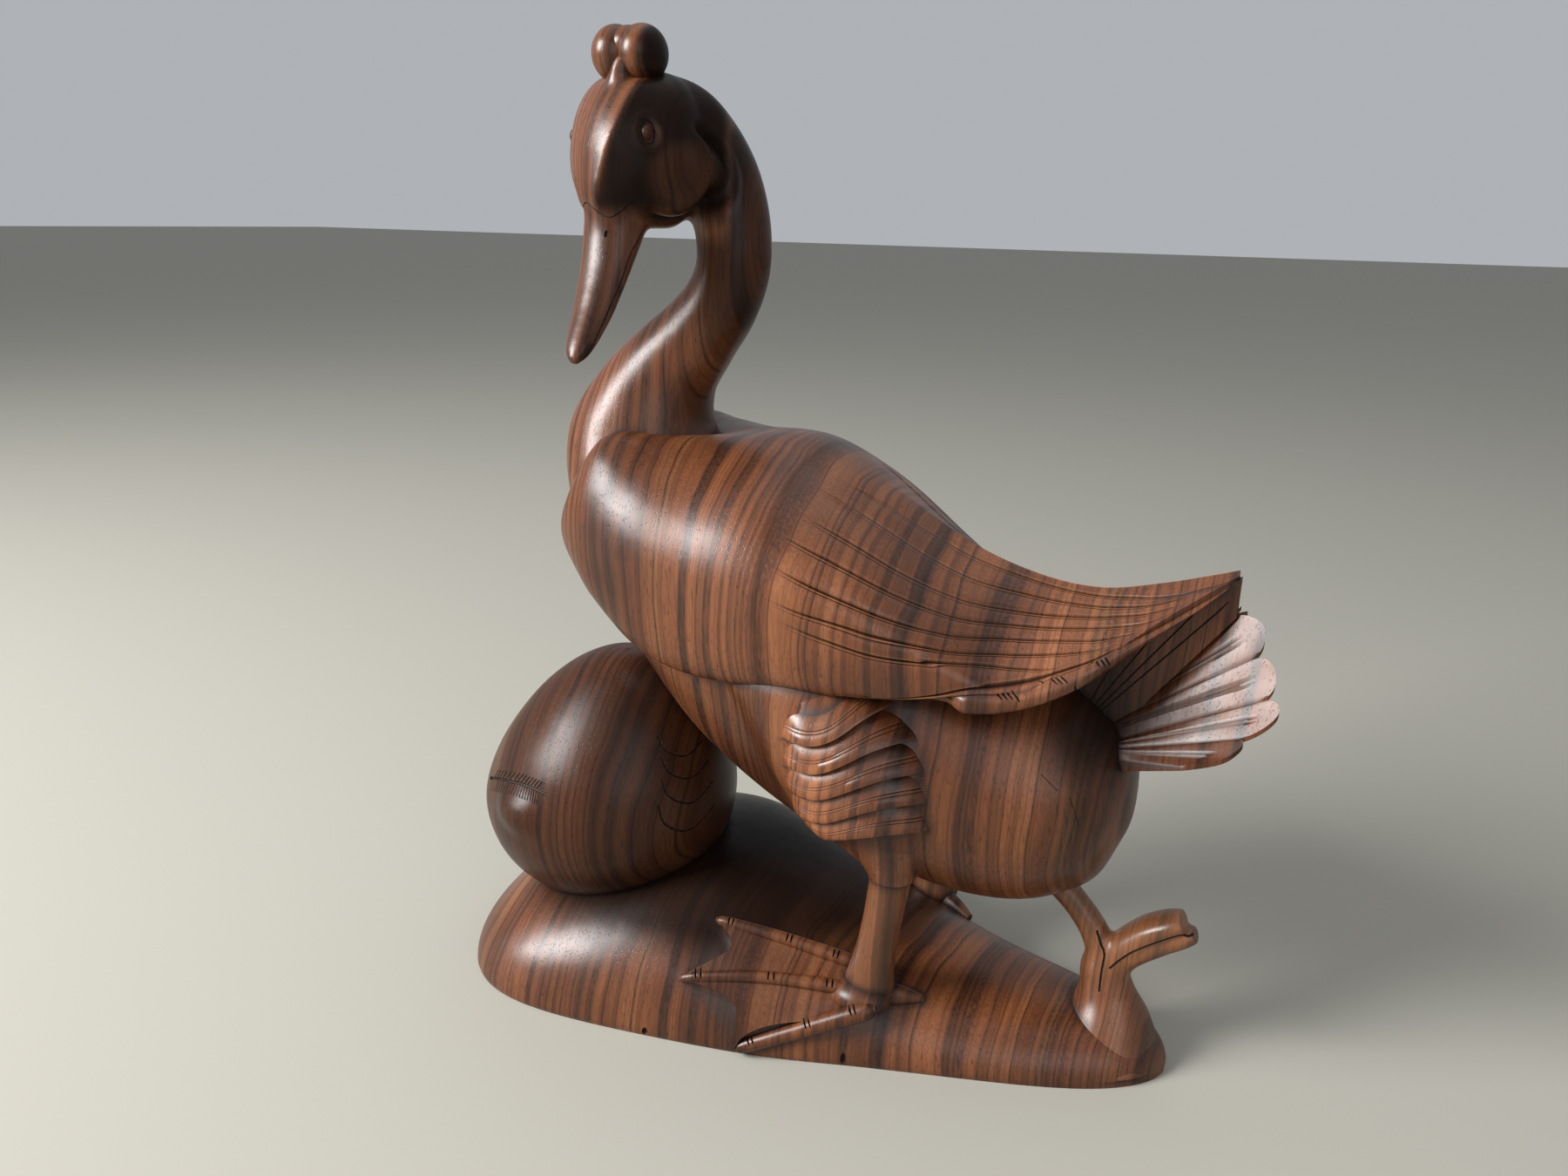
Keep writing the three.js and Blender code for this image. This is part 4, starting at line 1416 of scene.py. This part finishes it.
@dataclass(frozen=True)
class FoldedWings(CarvedPiece):
    """Both wings folded into one mantle over the back."""

    lengths: int = 170
    widest: float = 0.62
    rim_line: float = 0.9
    rim_swell: float = 2.4
    depth: float = 1.25
    second_depth: float = 0.6
    second_gap: float = 1.3
    rounding: float = 0.5
    lip: float = 0.3
    nose: float = 2.4
    tuck: float = 5.0

    def section(self, x: Array, v: Array) -> Array:
        """Points of the mantle's section on the goose's right.

        Args:
            x: Places along the carving.
            v: Lines down the wing, 0 on the ridge and 1 at the lower edge.

        Returns:
            y and z along the last axis.
        """
        ridge, dip, wide, wide_z, low, low_z, _ = np.moveaxis(track(MANTLE_ROWS)(x), -1, 0)
        rim = track(RIM_ROWS)(x)[..., 0]
        share = np.where(v < self.rim_line, v / self.rim_line * rim,
                         mix(rim, 1, (v - self.rim_line) / (1 - self.rim_line)))
        hollow = smooth((x - 10) / 95)
        part = np.clip(share / self.widest, 0, 1)
        u = np.clip(mix(np.sin(part * np.pi / 2), part, hollow), 0, 1)
        high = mix(np.sqrt(np.maximum(1 - u * u, 0)), (1 - u) ** 1.25, hollow)
        upper = (wide * u, mix(wide_z, ridge, high) - dip * (1 - u) ** 1.6)
        a = np.clip((share - self.widest) / (1 - self.widest), 0, 1) * np.pi / 2
        lower = (mix(low, wide, np.cos(a)), mix(wide_z, low_z, np.sin(a)))
        return np.stack([np.where(share < self.widest, p, q) for p, q in zip(upper, lower)], -1)

    def lines(self, x: Array) -> tuple[Array, Array, Array]:
        """The lines down a wing that its grid follows, close together at each groove.

        Args:
            x: Places along the carving.

        Returns:
            The line of each grid point, how deep it is cut, and how dark the cut is.
        """
        fine = np.linspace(0, 1, 81)
        outline = self.section(x[:, None], np.broadcast_to(fine, (len(x), 81)))
        long = np.linalg.norm(np.diff(outline, axis=1), axis=-1).sum(axis=1)
        steps = np.array([-1.0, -0.62, -0.3, 0, 0.3, 0.62, 1.0, 1.3, 1.6, 2.1])
        middles = np.stack([track(line)(x)[:, 0] for _, _, line in WING_GROOVES]
                           + [np.full(len(x), self.rim_line)], axis=1)
        gaps = np.diff(middles, axis=1, prepend=0, append=1) * long[:, None]
        scale = np.clip(np.minimum(gaps[:, :-1], gaps[:, 1:]) / 5.5, 0.15, 1)
        clusters = middles[..., None] + steps * (scale / long[:, None])[..., None]
        columns = [np.zeros((len(x), 1))]
        for number in range(middles.shape[1]):
            start = columns[-1][:, -1:]
            end = clusters[:, number, :1]
            count = 6 if number in (0, middles.shape[1] - 1) else 3
            columns.append(mix(start, end, np.linspace(0, 1, count + 2)[1:-1]))
            columns.append(clusters[:, number])
        columns.append(mix(columns[-1][:, -1:], 1, np.linspace(0, 1, 9)[1:]))
        v = np.hstack(columns)
        cut, dark = np.zeros_like(v), np.zeros_like(v)
        spans = [(start, end) for start, end, _ in WING_GROOVES] + [(28, 152)]
        for number, (start, end) in enumerate(spans):
            run = smooth((x - start) / 24) * smooth((end - x) / 16)
            gap = (v - middles[:, number, None]) * long[:, None] / scale[:, number, None]
            first = np.maximum(1 - np.abs(gap) / 0.62, 0)
            second = np.maximum(1 - np.abs(gap - self.second_gap) / 0.32, 0)
            soft = np.exp(-((gap / 2.6) ** 2))
            deep = self.depth * first + self.second_depth * second + self.rounding * soft
            beside = np.abs(gap - 0.5 * self.second_gap) - 1.7
            deep = deep - self.lip * np.exp(-((beside / 0.4) ** 2))
            near = np.abs(gap) < 6
            cut = np.where(near & (np.abs(deep) > np.abs(cut)),
                           deep * (run * np.sqrt(scale[:, number]))[:, None], cut)
            dark = np.maximum(dark, np.maximum(first, 0.8 * second) * run[:, None])
        return v, cut, dark

    def build(self) -> Piece:
        """Builds the mantle with its feather grooves and rolled rim.

        Returns:
            The piece.
        """
        x = mix(MANTLE_ENDS[0], MANTLE_ENDS[1], eased(self.lengths))
        v, cut, dark = self.lines(x)
        wide = np.broadcast_to(x[:, None], v.shape)
        ahead = MANTLE_ENDS[0] + np.hypot(x - MANTLE_ENDS[0], self.nose)[:, None]
        step = 0.004
        place = self.section(wide, v)
        slope = self.section(wide, np.minimum(v + step, 1)) - self.section(
            wide, np.maximum(v - step, 0))
        slope /= np.maximum(np.linalg.norm(slope, axis=-1), 1e-9)[..., None]
        rear = smooth((x - 40) / 40) * smooth((160 - x) / 12)
        rim = np.where(v > self.rim_line,
                       np.sin(np.pi * (v - self.rim_line) / (1 - self.rim_line)), 0)
        front = smooth((x - 28) / 12) * smooth((76 - x) / 8)
        tucked = smooth((v - self.rim_line) / 0.02 - 0.4) * front[:, None]
        out = rim * self.rim_swell * rear[:, None] - cut - self.tuck * tucked
        y = place[..., 0] - out * slope[..., 1]
        z = place[..., 1] + out * slope[..., 0]
        y[:, 0] = 0
        right = np.stack([np.broadcast_to(ahead, y.shape), y, z], axis=-1)
        ridge, dip, _, _, low, low_z, thick = track(MANTLE_ROWS)(x).T
        roof = np.maximum(ridge - dip - thick, low_z)
        w = np.linspace(0, 1, 5)
        inner_y = (low - np.minimum(thick, 0.4 * low))[:, None] * (1 - w)
        inner_z = mix((low_z + 0.15 * thick)[:, None], roof[:, None], w)
        inner = np.stack([np.broadcast_to(ahead, inner_y.shape), inner_y, inner_z], axis=-1)
        flip = np.array([1, -1, 1])
        rings = np.concatenate(
            [right[:, ::-1] * flip, right[:, 1:], inner, inner[:, -2::-1] * flip], axis=1)
        bare = np.zeros((len(x), 2 * inner.shape[1] - 1))
        shade = np.concatenate([dark[:, ::-1], dark[:, 1:], bare], axis=1)
        piece = to_object("folded_wings", skin(rings, shade))
        marks = []
        for (x, y, z), count, long in WING_TUFTS:
            for k in range(count):
                for side in (-1, 1):
                    start = np.array([x + 2.1 * k, -side * y, z + 1.5 + 0.7 * k])
                    marks.append((start, start + np.array([0.7 * long, 0.5 * side, -0.8 * long])))
        for side in (-1, 1):
            marks.append(tuple((x, -side * y, z) for x, y, z in RIM_NOTCH))
        self.tool.gouge(piece, marks, 0.8, 0.8)
        return piece


@dataclass(frozen=True)
class ThighFeathers:
    """The rows of small feathers over both thighs."""

    rows: int = 5
    top: float = 156.0
    pitch: float = 11.6
    swell: float = 3.2
    rise: float = 14.0
    sunk: float = 3.0
    petal: float = 1.6
    count: int = 120

    def build(self) -> Piece:
        """Builds the feathers of both thighs.

        Returns:
            The piece.
        """
        levels = [(176, 0, 0, 0), (168, 0.3, 0, 0), (160, 0.8, 0, 0)]
        for row in range(self.rows):
            for share, swell, dark in FEATHER_ROWS:
                levels.append((self.top - self.pitch * (row + share), 1, swell, dark))
        last = self.top - self.pitch * self.rows
        levels += [(last, 0.9, 0, 0.6), (last - 4, 0.4, 0, 0), (last - 8, 0, 0, 0), (84, 0, 0, 0)]
        level, lift, swell, dark = np.array(levels).T[:, :, None]
        angle = turns(self.count)
        thigh = track(THIGH_ROWS)
        x0, _, half, _ = np.moveaxis(thigh(level), -1, 0)
        behind = smooth((x0 + half * np.cos(angle) - 18) / 40)
        z = level + self.rise * lift * behind
        x, y, along_x, along_y = np.moveaxis(thigh(z), -1, 0)
        outer = smooth((0.45 - np.sin(angle)) / 0.6)
        outer = outer * smooth((x + along_x * np.cos(angle) + 1) / 20)
        end = smooth((np.cos(angle) - 0.55) / 0.4)
        out = (swell * self.swell) * outer - self.sunk * (1 - outer)
        out = out + self.petal * end * outer * (swell > 0) * (np.sqrt(swell) - 0.6)
        points = (x + (along_x + out) * np.cos(angle), y + (along_y + out) * np.sin(angle), z)
        near = skin(np.stack(points, axis=-1), dark * outer)
        return to_object("thigh_feathers", gathered([near, near.mirrored()]))


@dataclass(frozen=True)
class WebbedFeet(CarvedPiece):
    """Both feet, spread over the mound."""

    web_lift: float = 3.0
    web_dip: float = 1.1
    sunk: float = 5.0
    toe_lift: float = 2.2
    toe_sizes: tuple[float, ...] = (1.6, 3.7, 3.3, 3.0, 2.6, 1.4)
    toe_scales: tuple[float, ...] = (1.05, 0.8, 0.85)
    knuckles: tuple[float, ...] = (0.14, 0.17, 0.46, 0.49, 0.87, 0.9)

    def rise(self, line: Number, share: Number) -> Array:
        """How much the toe or web at a line climbs towards the shank."""
        return np.interp(line, range(len(TOE_RISES)), TOE_RISES) * (1 - share)

    def web(self) -> Surface:
        """The skin between the toes of the near foot."""
        line = np.linspace(0, len(TOE_TIPS) - 1, 61)
        i = np.clip(line.astype(int), 0, len(TOE_TIPS) - 2)
        tips = np.array(TOE_TIPS)
        tip = mix(tips[i], tips[i + 1], (line - i)[:, None])
        scoop = 1 - np.array(WEB_SCOOPS)[i] * np.abs(np.sin(np.pi * line))
        t = np.linspace(0, 1, 31) * scoop[:, None]
        roots = np.array(TOE_ROOTS)
        root = mix(roots[i], roots[i + 1], (line - i)[:, None])
        x = mix(root[:, :1], tip[:, :1], t)
        y = mix(root[:, 1:], tip[:, 1:], t)
        part = np.abs(np.sin(np.pi * line))[:, None]
        lift = self.web_lift - self.web_dip * part * smooth(t / 0.3) + 0.5 * part * (t > 0.66)
        lift = lift + 0.5 * self.rise(line[:, None], t)
        tops, feet = on_mound(x, y, lift), on_mound(x, y, -self.sunk)
        chord = mix(self.spot(0, 0.0)[2], self.spot(0, 1.0)[2], t) + 0.4
        edge = smooth(1 - line / 0.4)[:, None]
        tops[..., 2] = mix(tops[..., 2], np.maximum(chord, feet[..., 2] + 2), edge)
        return slab(tops, feet)

    def spot(self, number: int, share: float) -> Array:
        """The middle of a toe at a share of its length.

        Args:
            number: Which toe.
            share: 0 at the ankle and 1 at the tip.

        Returns:
            The place as x, y, z.
        """
        root, tip, rise = TOE_ROOTS[number], TOE_TIPS[number], TOE_RISES[number]
        start = on_mound(*root, self.toe_lift + rise)
        end = on_mound(*tip, 0.4 * self.toe_lift)
        over = on_mound(mix(root[0], tip[0], share), mix(root[1], tip[1], share),
                        self.toe_lift * (1 - 0.6 * share**6) + rise * (1 - share))
        return mix(over, mix(start, end, share), TOE_STRAIGHT[number])

    def toe(self, number: int) -> Surface:
        """One front toe, from the ankle to its tip."""
        shares = (0.0, 0.1, 0.5, 0.85, 0.96, 1.0)
        rows = []
        for share, size in zip(shares, self.toe_sizes):
            size *= self.toe_scales[number]
            rows.append([*self.spot(number, share), size, size, size])
        return tube(rows, 60, 28)

    def ankle(self) -> Surface:
        """The swelling where the shank meets the toes."""
        return ball(on_mound(ANKLE[0] - 0.5, ANKLE[1] - 1, 2.0), np.diag([13.5, 11, 7.5]), 48)

    def hind(self) -> Surface:
        """The small toe behind."""
        middle = [mix(a, b, 0.6) for a, b in zip(ANKLE, HIND_TOE)]
        start = [ANKLE[0] + 4, ANKLE[1] + 2, float(on_mound(*ANKLE, 0.0)[2])]
        rows = [[*start, 5, 6, 6], [*on_mound(*middle, 0.0), 4, 5, 4],
                [*on_mound(*HIND_TOE, -1.0), 2, 2, 2]]
        return tube(rows, 24, 24)

    def build(self) -> Piece:
        """Builds both feet and cuts the notches across their toes.

        Returns:
            The piece.
        """
        piece = to_object("webbed_feet", self.web())
        forms = [self.toe(number) for number in range(3)] + [self.hind(), self.ankle()]
        unite(piece, [to_object("toe", form) for form in forms])
        marks = []
        for number, (root, tip) in enumerate(zip(TOE_ROOTS, TOE_TIPS)):
            run = np.subtract(tip, root)
            square = np.array([-run[1], run[0]]) / np.hypot(*run)
            for share in self.knuckles:
                above = self.spot(number, share) + np.array([0, -2, 3.4])
                across = np.array([*square, 0]) * 3.0
                marks.append((above - across, above + across))
        self.tool.gouge(piece, marks, 0.85, 1.2)
        return modified(piece, "MIRROR", use_axis=(False, True, False), use_mirror_merge=False)


@dataclass(frozen=True)
class TailFan(CarvedPiece):
    """Round-ended feathers that fan out from under the wings."""

    feathers: int = 4
    thickness: float = 7.0
    notch: float = 8.0
    short: float = 14.0
    fine: int = 26
    mid_depth: float = 0.7

    def sheet(self, half: float) -> tuple[Array, Array]:
        """One side of the fan.

        Args:
            half: How far above the fan's middle the sheet lies.

        Returns:
            The points, and how dark each is.
        """
        count = self.feathers * self.fine
        line = np.arange(-count, count + 1) / self.fine
        w = np.abs(line)
        tip, root = track(FAN_TIPS)(w), track(FAN_ROOTS)(w)
        side = np.where(line > 0, -1, 1)
        tip[:, 0] -= np.where(side < 0, self.short * smooth(w), 0)
        inside = w - np.floor(np.minimum(w, self.feathers - 1e-6))
        bulge = np.sqrt(np.maximum(1 - (2 * inside - 1) ** 2, 0))
        long = np.linalg.norm(tip - root, axis=1)
        notch = np.where(w == 0, 0, self.notch * (1 - bulge))
        t = np.linspace(0, 1, 41)[:, None]
        share = (t * (long - notch) / long)[..., None]
        points = mix(root, tip, share)
        run = smooth((t - 0.05) / 0.2) * smooth((0.9 - t) / 0.08)
        gaps = [np.abs(inside - middle) * 8.5 for middle in (0.44, 0.56)]
        mids = sum(np.maximum(1 - gap / 0.5, 0) for gap in gaps) * run
        between = np.exp(-((bulge / 0.3) ** 2)) * (t > 0)
        edge = half * mix(0.55, 1, bulge) * np.ones_like(t) if half > 0 else half + 0 * t * bulge
        rise = edge * mix(1, 0.3, t)
        if half > 0:
            rise = rise - self.mid_depth * mids
        points[..., 1] *= side
        points[..., 2] += rise
        return points, np.maximum(mids, 0.9 * between) if half > 0 else between * 0

    def build(self) -> Piece:
        """Builds the tail.

        Returns:
            The piece.
        """
        top, dark = self.sheet(self.thickness / 2)
        bottom, _ = self.sheet(-self.thickness / 2)
        piece = to_object("tail_fan", slab(top, bottom, dark))
        unite(piece, [to_object("keel", self.keel())])
        ground = Ground(piece)
        lines = []
        for x, z in KEEL_LINES:
            for side in (-1, 1):
                foot = (112 + 0.12 * (x - 129), side * 8.5, 156 - 0.1 * (x - 129))
                lines.append(ground.path([foot, (mix(foot[0], x, 0.5), side * 7.5,
                                                 mix(foot[2], z, 0.5)), (x, side * 5, z)], 24))
        self.tool.score(piece, lines, 0.42)
        return piece

    def keel(self) -> Surface:
        """The web between the fan's ridge and the wings' tip."""
        x = np.linspace(KEEL_ROWS[0][0], KEEL_ROWS[-1][0], 40)[:, None]
        foot, top, half = np.moveaxis(track(KEEL_ROWS)(x), -1, 0)
        z = mix(foot, top, np.linspace(0, 1, 12))
        sheets = [np.stack([x + 0 * z, side * half + 0 * z, z], axis=-1) for side in (1, -1)]
        # Painted shade: the keel, under the wings' tip, is darkened most towards its root.
        return slab(*sheets, 0.75 * smooth((162 - x) / 45) * np.ones_like(z))


@dataclass(frozen=True)
class Gosling(CarvedPiece):
    """The rounded young bird, curled up under the breast."""

    lengths: int = 130
    count: int = 230

    def build(self) -> Piece:
        """Builds the gosling with its tucked bill and folded wing.

        Returns:
            The piece.
        """
        s = np.linspace(0, len(GOSLING_ROWS) - 1, self.lengths + 1)
        up, shift, along_x, along_y = track(counted(GOSLING_ROWS))(s).T[:, :, None]
        angle = turns(self.count)
        rings = np.stack([shift + along_x * np.cos(angle), along_y * np.sin(angle),
                          up + 0 * angle], axis=-1) + GOSLING_MIDDLE
        piece = to_object("gosling", skin(rings))
        mesh = piece.data
        points, out = places(mesh), outward_at(mesh)
        away = (points - GOSLING_CHEEK) / CHEEK_SIZE
        run = out / CHEEK_SIZE
        a, b = (run**2).sum(axis=1), (away * run).sum(axis=1)
        inside = b * b - a * ((away**2).sum(axis=1) - 1)
        reach = np.where(inside > 0, (-b + np.sqrt(np.maximum(inside, 0))) / a, 0)
        reach = np.where((away**2).sum(axis=1) < 1, reach, 0)
        put(mesh, points + out * np.maximum(reach, 0)[:, None])
        relax(piece, 14, GOSLING_CHEEK, 34)
        self.engrave(piece)
        return piece

    def engrave(self, piece: Piece) -> None:
        """Cuts the hatching round the bill and the feather edges on the wing.

        Args:
            piece: The gosling.
        """
        ground = Ground(piece)
        self.tool.score(piece, [ground.path(GOSLING_NOTCH, 60)], 0.8)
        band = track(counted(GOSLING_NOTCH))
        above, below = [], []
        for k in range(14):
            x, y, z = band(0.6 + k * 0.21)
            above.append((np.array([x + 1.3, y, z + 4.6]), np.array([x - 1.1, y, z + 0.6])))
        for k in range(21):
            x, y, z = band(0.4 + k * 0.15)
            below.append((np.array([x - 0.2, y, z - 0.8]), np.array([x + 0.4, y, z - 6.4])))
        for marks, depth in ((above, 0.42), (below, 0.3)):
            self.tool.score(piece, [ground.path(mark, 7) for mark in marks], depth)
        lines = []
        for x, z in SCALLOPS:
            lines.append([(x - 8, -44, z + 3), (x - 6, -42, z - 5), (x, -34, z - 9.5),
                          (x + 7, -22, z - 4)])
        self.tool.score(piece, [ground.path(line, 30) for line in lines], 0.5)


@dataclass(frozen=True)
class ForkedBranch(CarvedPiece):
    """The stub of a branch that props the rump, with a bud."""

    spacing: float = 0.8

    def build(self) -> Piece:
        """Builds the branch.

        Returns:
            The piece.
        """
        parts = (BRANCH_ROOT, BRANCH_PROP, BRANCH_BUD, BRANCH_LIP)
        piece = to_object("forked_branch", gathered([tube(rows, 50, 40) for rows in parts]))
        run_together(piece, self.spacing)
        relax(piece, 6)
        relax(piece, 40, np.array([131.0, 0.0, 42.0]), 16)
        ground = Ground(piece)
        lines = [ground.path(BUD_LINE, 40), ground.path(FORK_LINE, 30)]
        self.tool.score(piece, lines, 0.55)
        return piece


# The scene


def paint_crease_wax_and_shade(pieces: Sequence[Piece], reach: float) -> None:
    """Stores how near each point lies to the angle with another piece, where dark wax is left and
    shade is painted.

    Args:
        pieces: All the pieces.
        reach: How far from the angle the wax and painted shade fade out, in millimetres.
    """
    grounds = {piece.name: Ground(piece).tree for piece in pieces}
    for piece in pieces:
        points = places(piece.data) * MM
        facing = outward_at(piece.data)
        dark = np.zeros(len(points))
        for other in pieces:
            if other is piece:
                continue
            theirs = places(other.data) * MM
            low, high = theirs.min(axis=0) - reach * MM, theirs.max(axis=0) + reach * MM
            tree = grounds[other.name]
            for i in np.flatnonzero(((points > low) & (points < high)).all(axis=1)):
                _, normal, _, away = tree.find_nearest(points[i], reach * MM)
                if away is not None:
                    angle = smooth((0.85 - float(np.dot(normal, facing[i]))) / 0.35)
                    dark[i] = max(dark[i], smooth(1 - away / (reach * MM)) * angle)
        x, _, z = places(piece.data).T
        open_back = smooth((x + 85) / 15) * smooth((z - 228) / 10)
        write_points(piece.data, "crease_wax_and_shade", dark * 0.85 * (1 - open_back))


def wear(piece: Piece) -> None:
    """Stores the dark wax in a piece's own hollows and the pale wood on its worn edges.

    Args:
        piece: The piece.
    """
    mesh = piece.data
    points, out = places(mesh), outward_at(mesh)
    ends, others = links(mesh)
    step = points[others] - points[ends]
    lean = (step * out[ends]).sum(axis=1)
    bend = lean / np.maximum((step**2).sum(axis=1), LEAST_STEP**2)
    number = np.maximum(np.bincount(ends, minlength=len(points)), 1)
    bend = np.bincount(ends, weights=bend, minlength=len(points)) / number
    bend = 0.5 * bend + 0.5 * np.bincount(ends, bend[others], len(points)) / number
    hollow = smooth((bend - 0.08) / 0.5) * 0.8
    write_points(mesh, "crease_wax_and_shade", np.maximum(hollow, read_points(mesh, "crease_wax_and_shade")))
    write_points(mesh, "worn", smooth((-bend - 0.16) / 0.5))


def lift_worn(piece: Piece, least: Array) -> None:
    """Raises how worn each point of a piece is to at least a share."""
    write_points(piece.data, "worn", np.maximum(read_points(piece.data, "worn"), least))


def paint_heartwood_and_shade(piece: Piece) -> None:
    """Stores how near each point of a piece lies to the dark heart of the block, together with
    painted shade on the head's side, the neck, the rump, the fan's root, the mound's top and the
    gosling.

    Args:
        piece: The piece.
    """
    points = places(piece.data)
    x, _, z = points.T
    head, across, up = head_parts(points)
    base = HEARTWOOD_AND_SHADE.get(piece.name, 0.0) * np.ones(len(points))
    if piece.name == "goose_body":
        # Painted shade darkens the head's side beyond the brow line, with a painted sheen left
        # lighter on the cheek and lighter round the eye; the neck darkens upwards, partly dark
        # heartwood and partly painted shade.
        brow = track(BROW_ROWS)(up)[:, 0]
        near = smooth((-across + brow + 1) / 3) * smooth((up + 34) / 14)
        skull = smooth((z - 322) / 14) * smooth((38 - np.hypot(head, across)) / 6)
        cheek = smooth((6 - up) / 10) * smooth((16 - np.hypot(head - 9, up + 9.5)) / 6)
        eye = smooth(1.6 - np.hypot(head - 21.7, up - 4) / 3.4)
        dark = mix(0.3, 0.97, near) - 0.2 * near * cheek - 0.14 * near * eye
        base = np.maximum(0.72 * smooth((z - 262) / 40) * (1 - skull), skull * dark)
        base = np.maximum(base, 0.25 * smooth((z - 200) / 40))
        bill = smooth((-20 - up) / 10) * smooth((head - 8) / 8)
        streak = np.exp(-(((across + 2.5) / 2.2) ** 2))
        base = mix(base, 0.25 + 0.5 * streak, bill)
        # Painted shade on the rump under the wings' tip.
        base = np.maximum(base, 0.85 * smooth((x - 88) / 24) * smooth((z - 124) / 24))
        lift_worn(piece, 0.14 * smooth((86 - z) / 10) * smooth((62 - x) / 6))
    if piece.name == "folded_wings":
        base = np.maximum(0.45 * np.exp(-((x + 2) / 1.5) ** 2), 0.3 * smooth((-x - 10) / 50))
    if piece.name == "tail_fan":
        # Painted shade: the fan is darker towards its root under the wings' rim.
        base = 0.3 + 0.5 * smooth((140 - x) / 24)
    if piece.name == "mound":
        # Painted shade: the mound is darker on its top, under the goose and the gosling.
        base = 0.15 + 0.8 * smooth((z - 28) / 16) * smooth((110 - x) / 40)
    if piece.name == "forked_branch":
        lift_worn(piece, 0.08 + 0.16 * smooth((z - 36) / 16))
    write_points(piece.data, "heartwood_and_shade", base)


def finish_piece(piece: Piece, finishes: Sequence[Material], sharp: float) -> None:
    """Gives a piece its finish, shading and place in the frame.

    Args:
        piece: The piece.
        finishes: The wood's finish and the finish in its cuts.
        sharp: The angle in degrees from which an edge looks sharp.
    """
    mesh = piece.data
    held = [m.name if m else "" for m in mesh.materials]
    cuts = np.zeros(len(mesh.polygons), dtype=np.int32)
    mesh.polygons.foreach_get("material_index", cuts)
    dark = np.array([name == finishes[1].name for name in held] or [False])
    slots = dark[np.clip(cuts, 0, len(dark) - 1)].astype(np.int32)
    mesh.materials.clear()
    for finish in finishes:
        mesh.materials.append(finish)
    mesh.polygons.foreach_set("material_index", slots)
    mesh.shade_smooth()
    mesh.set_sharp_from_angle(angle=math.radians(sharp))
    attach(piece, BODY)
    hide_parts(CARVING)
    log.info("%s: %d points, %d faces", piece.name, len(mesh.vertices), len(mesh.polygons))


def set_camera() -> None:
    """Adds the camera and looks through it."""
    camera = bpy.data.objects.new("camera", bpy.data.cameras.new("camera"))
    camera.data.sensor_fit = "HORIZONTAL"
    camera.data.sensor_width = 36
    camera.data.lens = CAMERA_LENS
    yaw, pitch, roll = (math.radians(a) for a in CAMERA_TURN)
    right = Vector((math.cos(yaw), math.sin(yaw), 0))
    level = Vector((-math.sin(yaw), math.cos(yaw), 0))
    forward = level * math.cos(pitch) - Vector((0, 0, math.sin(pitch)))
    above = right.cross(forward)
    turned = right * math.cos(roll) + above * math.sin(roll)
    top = above * math.cos(roll) - right * math.sin(roll)
    camera.matrix_world = Matrix((turned, top, -forward)).transposed().to_4x4()
    camera.location = CAMERA_PLACE
    bpy.context.scene.collection.objects.link(camera)
    bpy.context.scene.camera = camera


def set_stage() -> None:
    """Adds the floor, the lights and the camera."""
    bpy.ops.mesh.primitive_plane_add(size=FLOOR_SIZE)
    floor = bpy.context.object
    floor.name = "floor"
    paint = bpy.data.materials.new("matt_floor")
    paint.use_nodes = True
    shader = paint.node_tree.nodes["Principled BSDF"]
    shader.inputs["Base Color"].default_value = linear(FLOOR_COLOUR)
    shader.inputs["Roughness"].default_value = FLOOR_ROUGHNESS
    floor.data.materials.append(paint)
    scene = bpy.context.scene
    world = bpy.data.worlds.new("soft_room")
    world.use_nodes = True
    back = world.node_tree.nodes["Background"]
    back.inputs["Color"].default_value = linear(ROOM_COLOUR)
    back.inputs["Strength"].default_value = ROOM_STRENGTH
    scene.world = world
    for name, place, size, power in LAMPS:
        lamp = bpy.data.lights.new(name, "AREA")
        lamp.shape = "RECTANGLE"
        lamp.size, lamp.size_y = size
        lamp.energy = power
        holder = bpy.data.objects.new(name, lamp)
        holder.location = place
        aim = Vector(LAMP_AIM) - Vector(place)
        holder.rotation_euler = aim.to_track_quat("-Z", "Y").to_euler()
        scene.collection.objects.link(holder)
    set_camera()
    scene.view_settings.view_transform = "Standard"


def main() -> None:
    """Builds every piece and the stage."""
    logging.basicConfig(level=logging.INFO, format="%(message)s")
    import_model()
    wood, cut = StreakedRosewood().make(), WaxedCut().make()
    tool = CarvingTool(cut)
    body = GooseBody(tool)
    goose = body.build()
    body.engrave(goose)
    pieces = [
        Mound(tool).build(),
        goose,
        FoldedWings(tool).build(),
        ThighFeathers().build(),
        WebbedFeet(tool).build(),
        TailFan(tool).build(),
        Gosling(tool).build(),
        ForkedBranch(tool).build(),
    ]
    paint_crease_wax_and_shade(pieces, WAX_AND_SHADE_REACH)
    for piece in pieces:
        wear(piece)
        paint_heartwood_and_shade(piece)
        finish_piece(piece, (wood, cut), SHARP_ANGLE)
    set_stage()


if __name__ == "__main__":
    main()
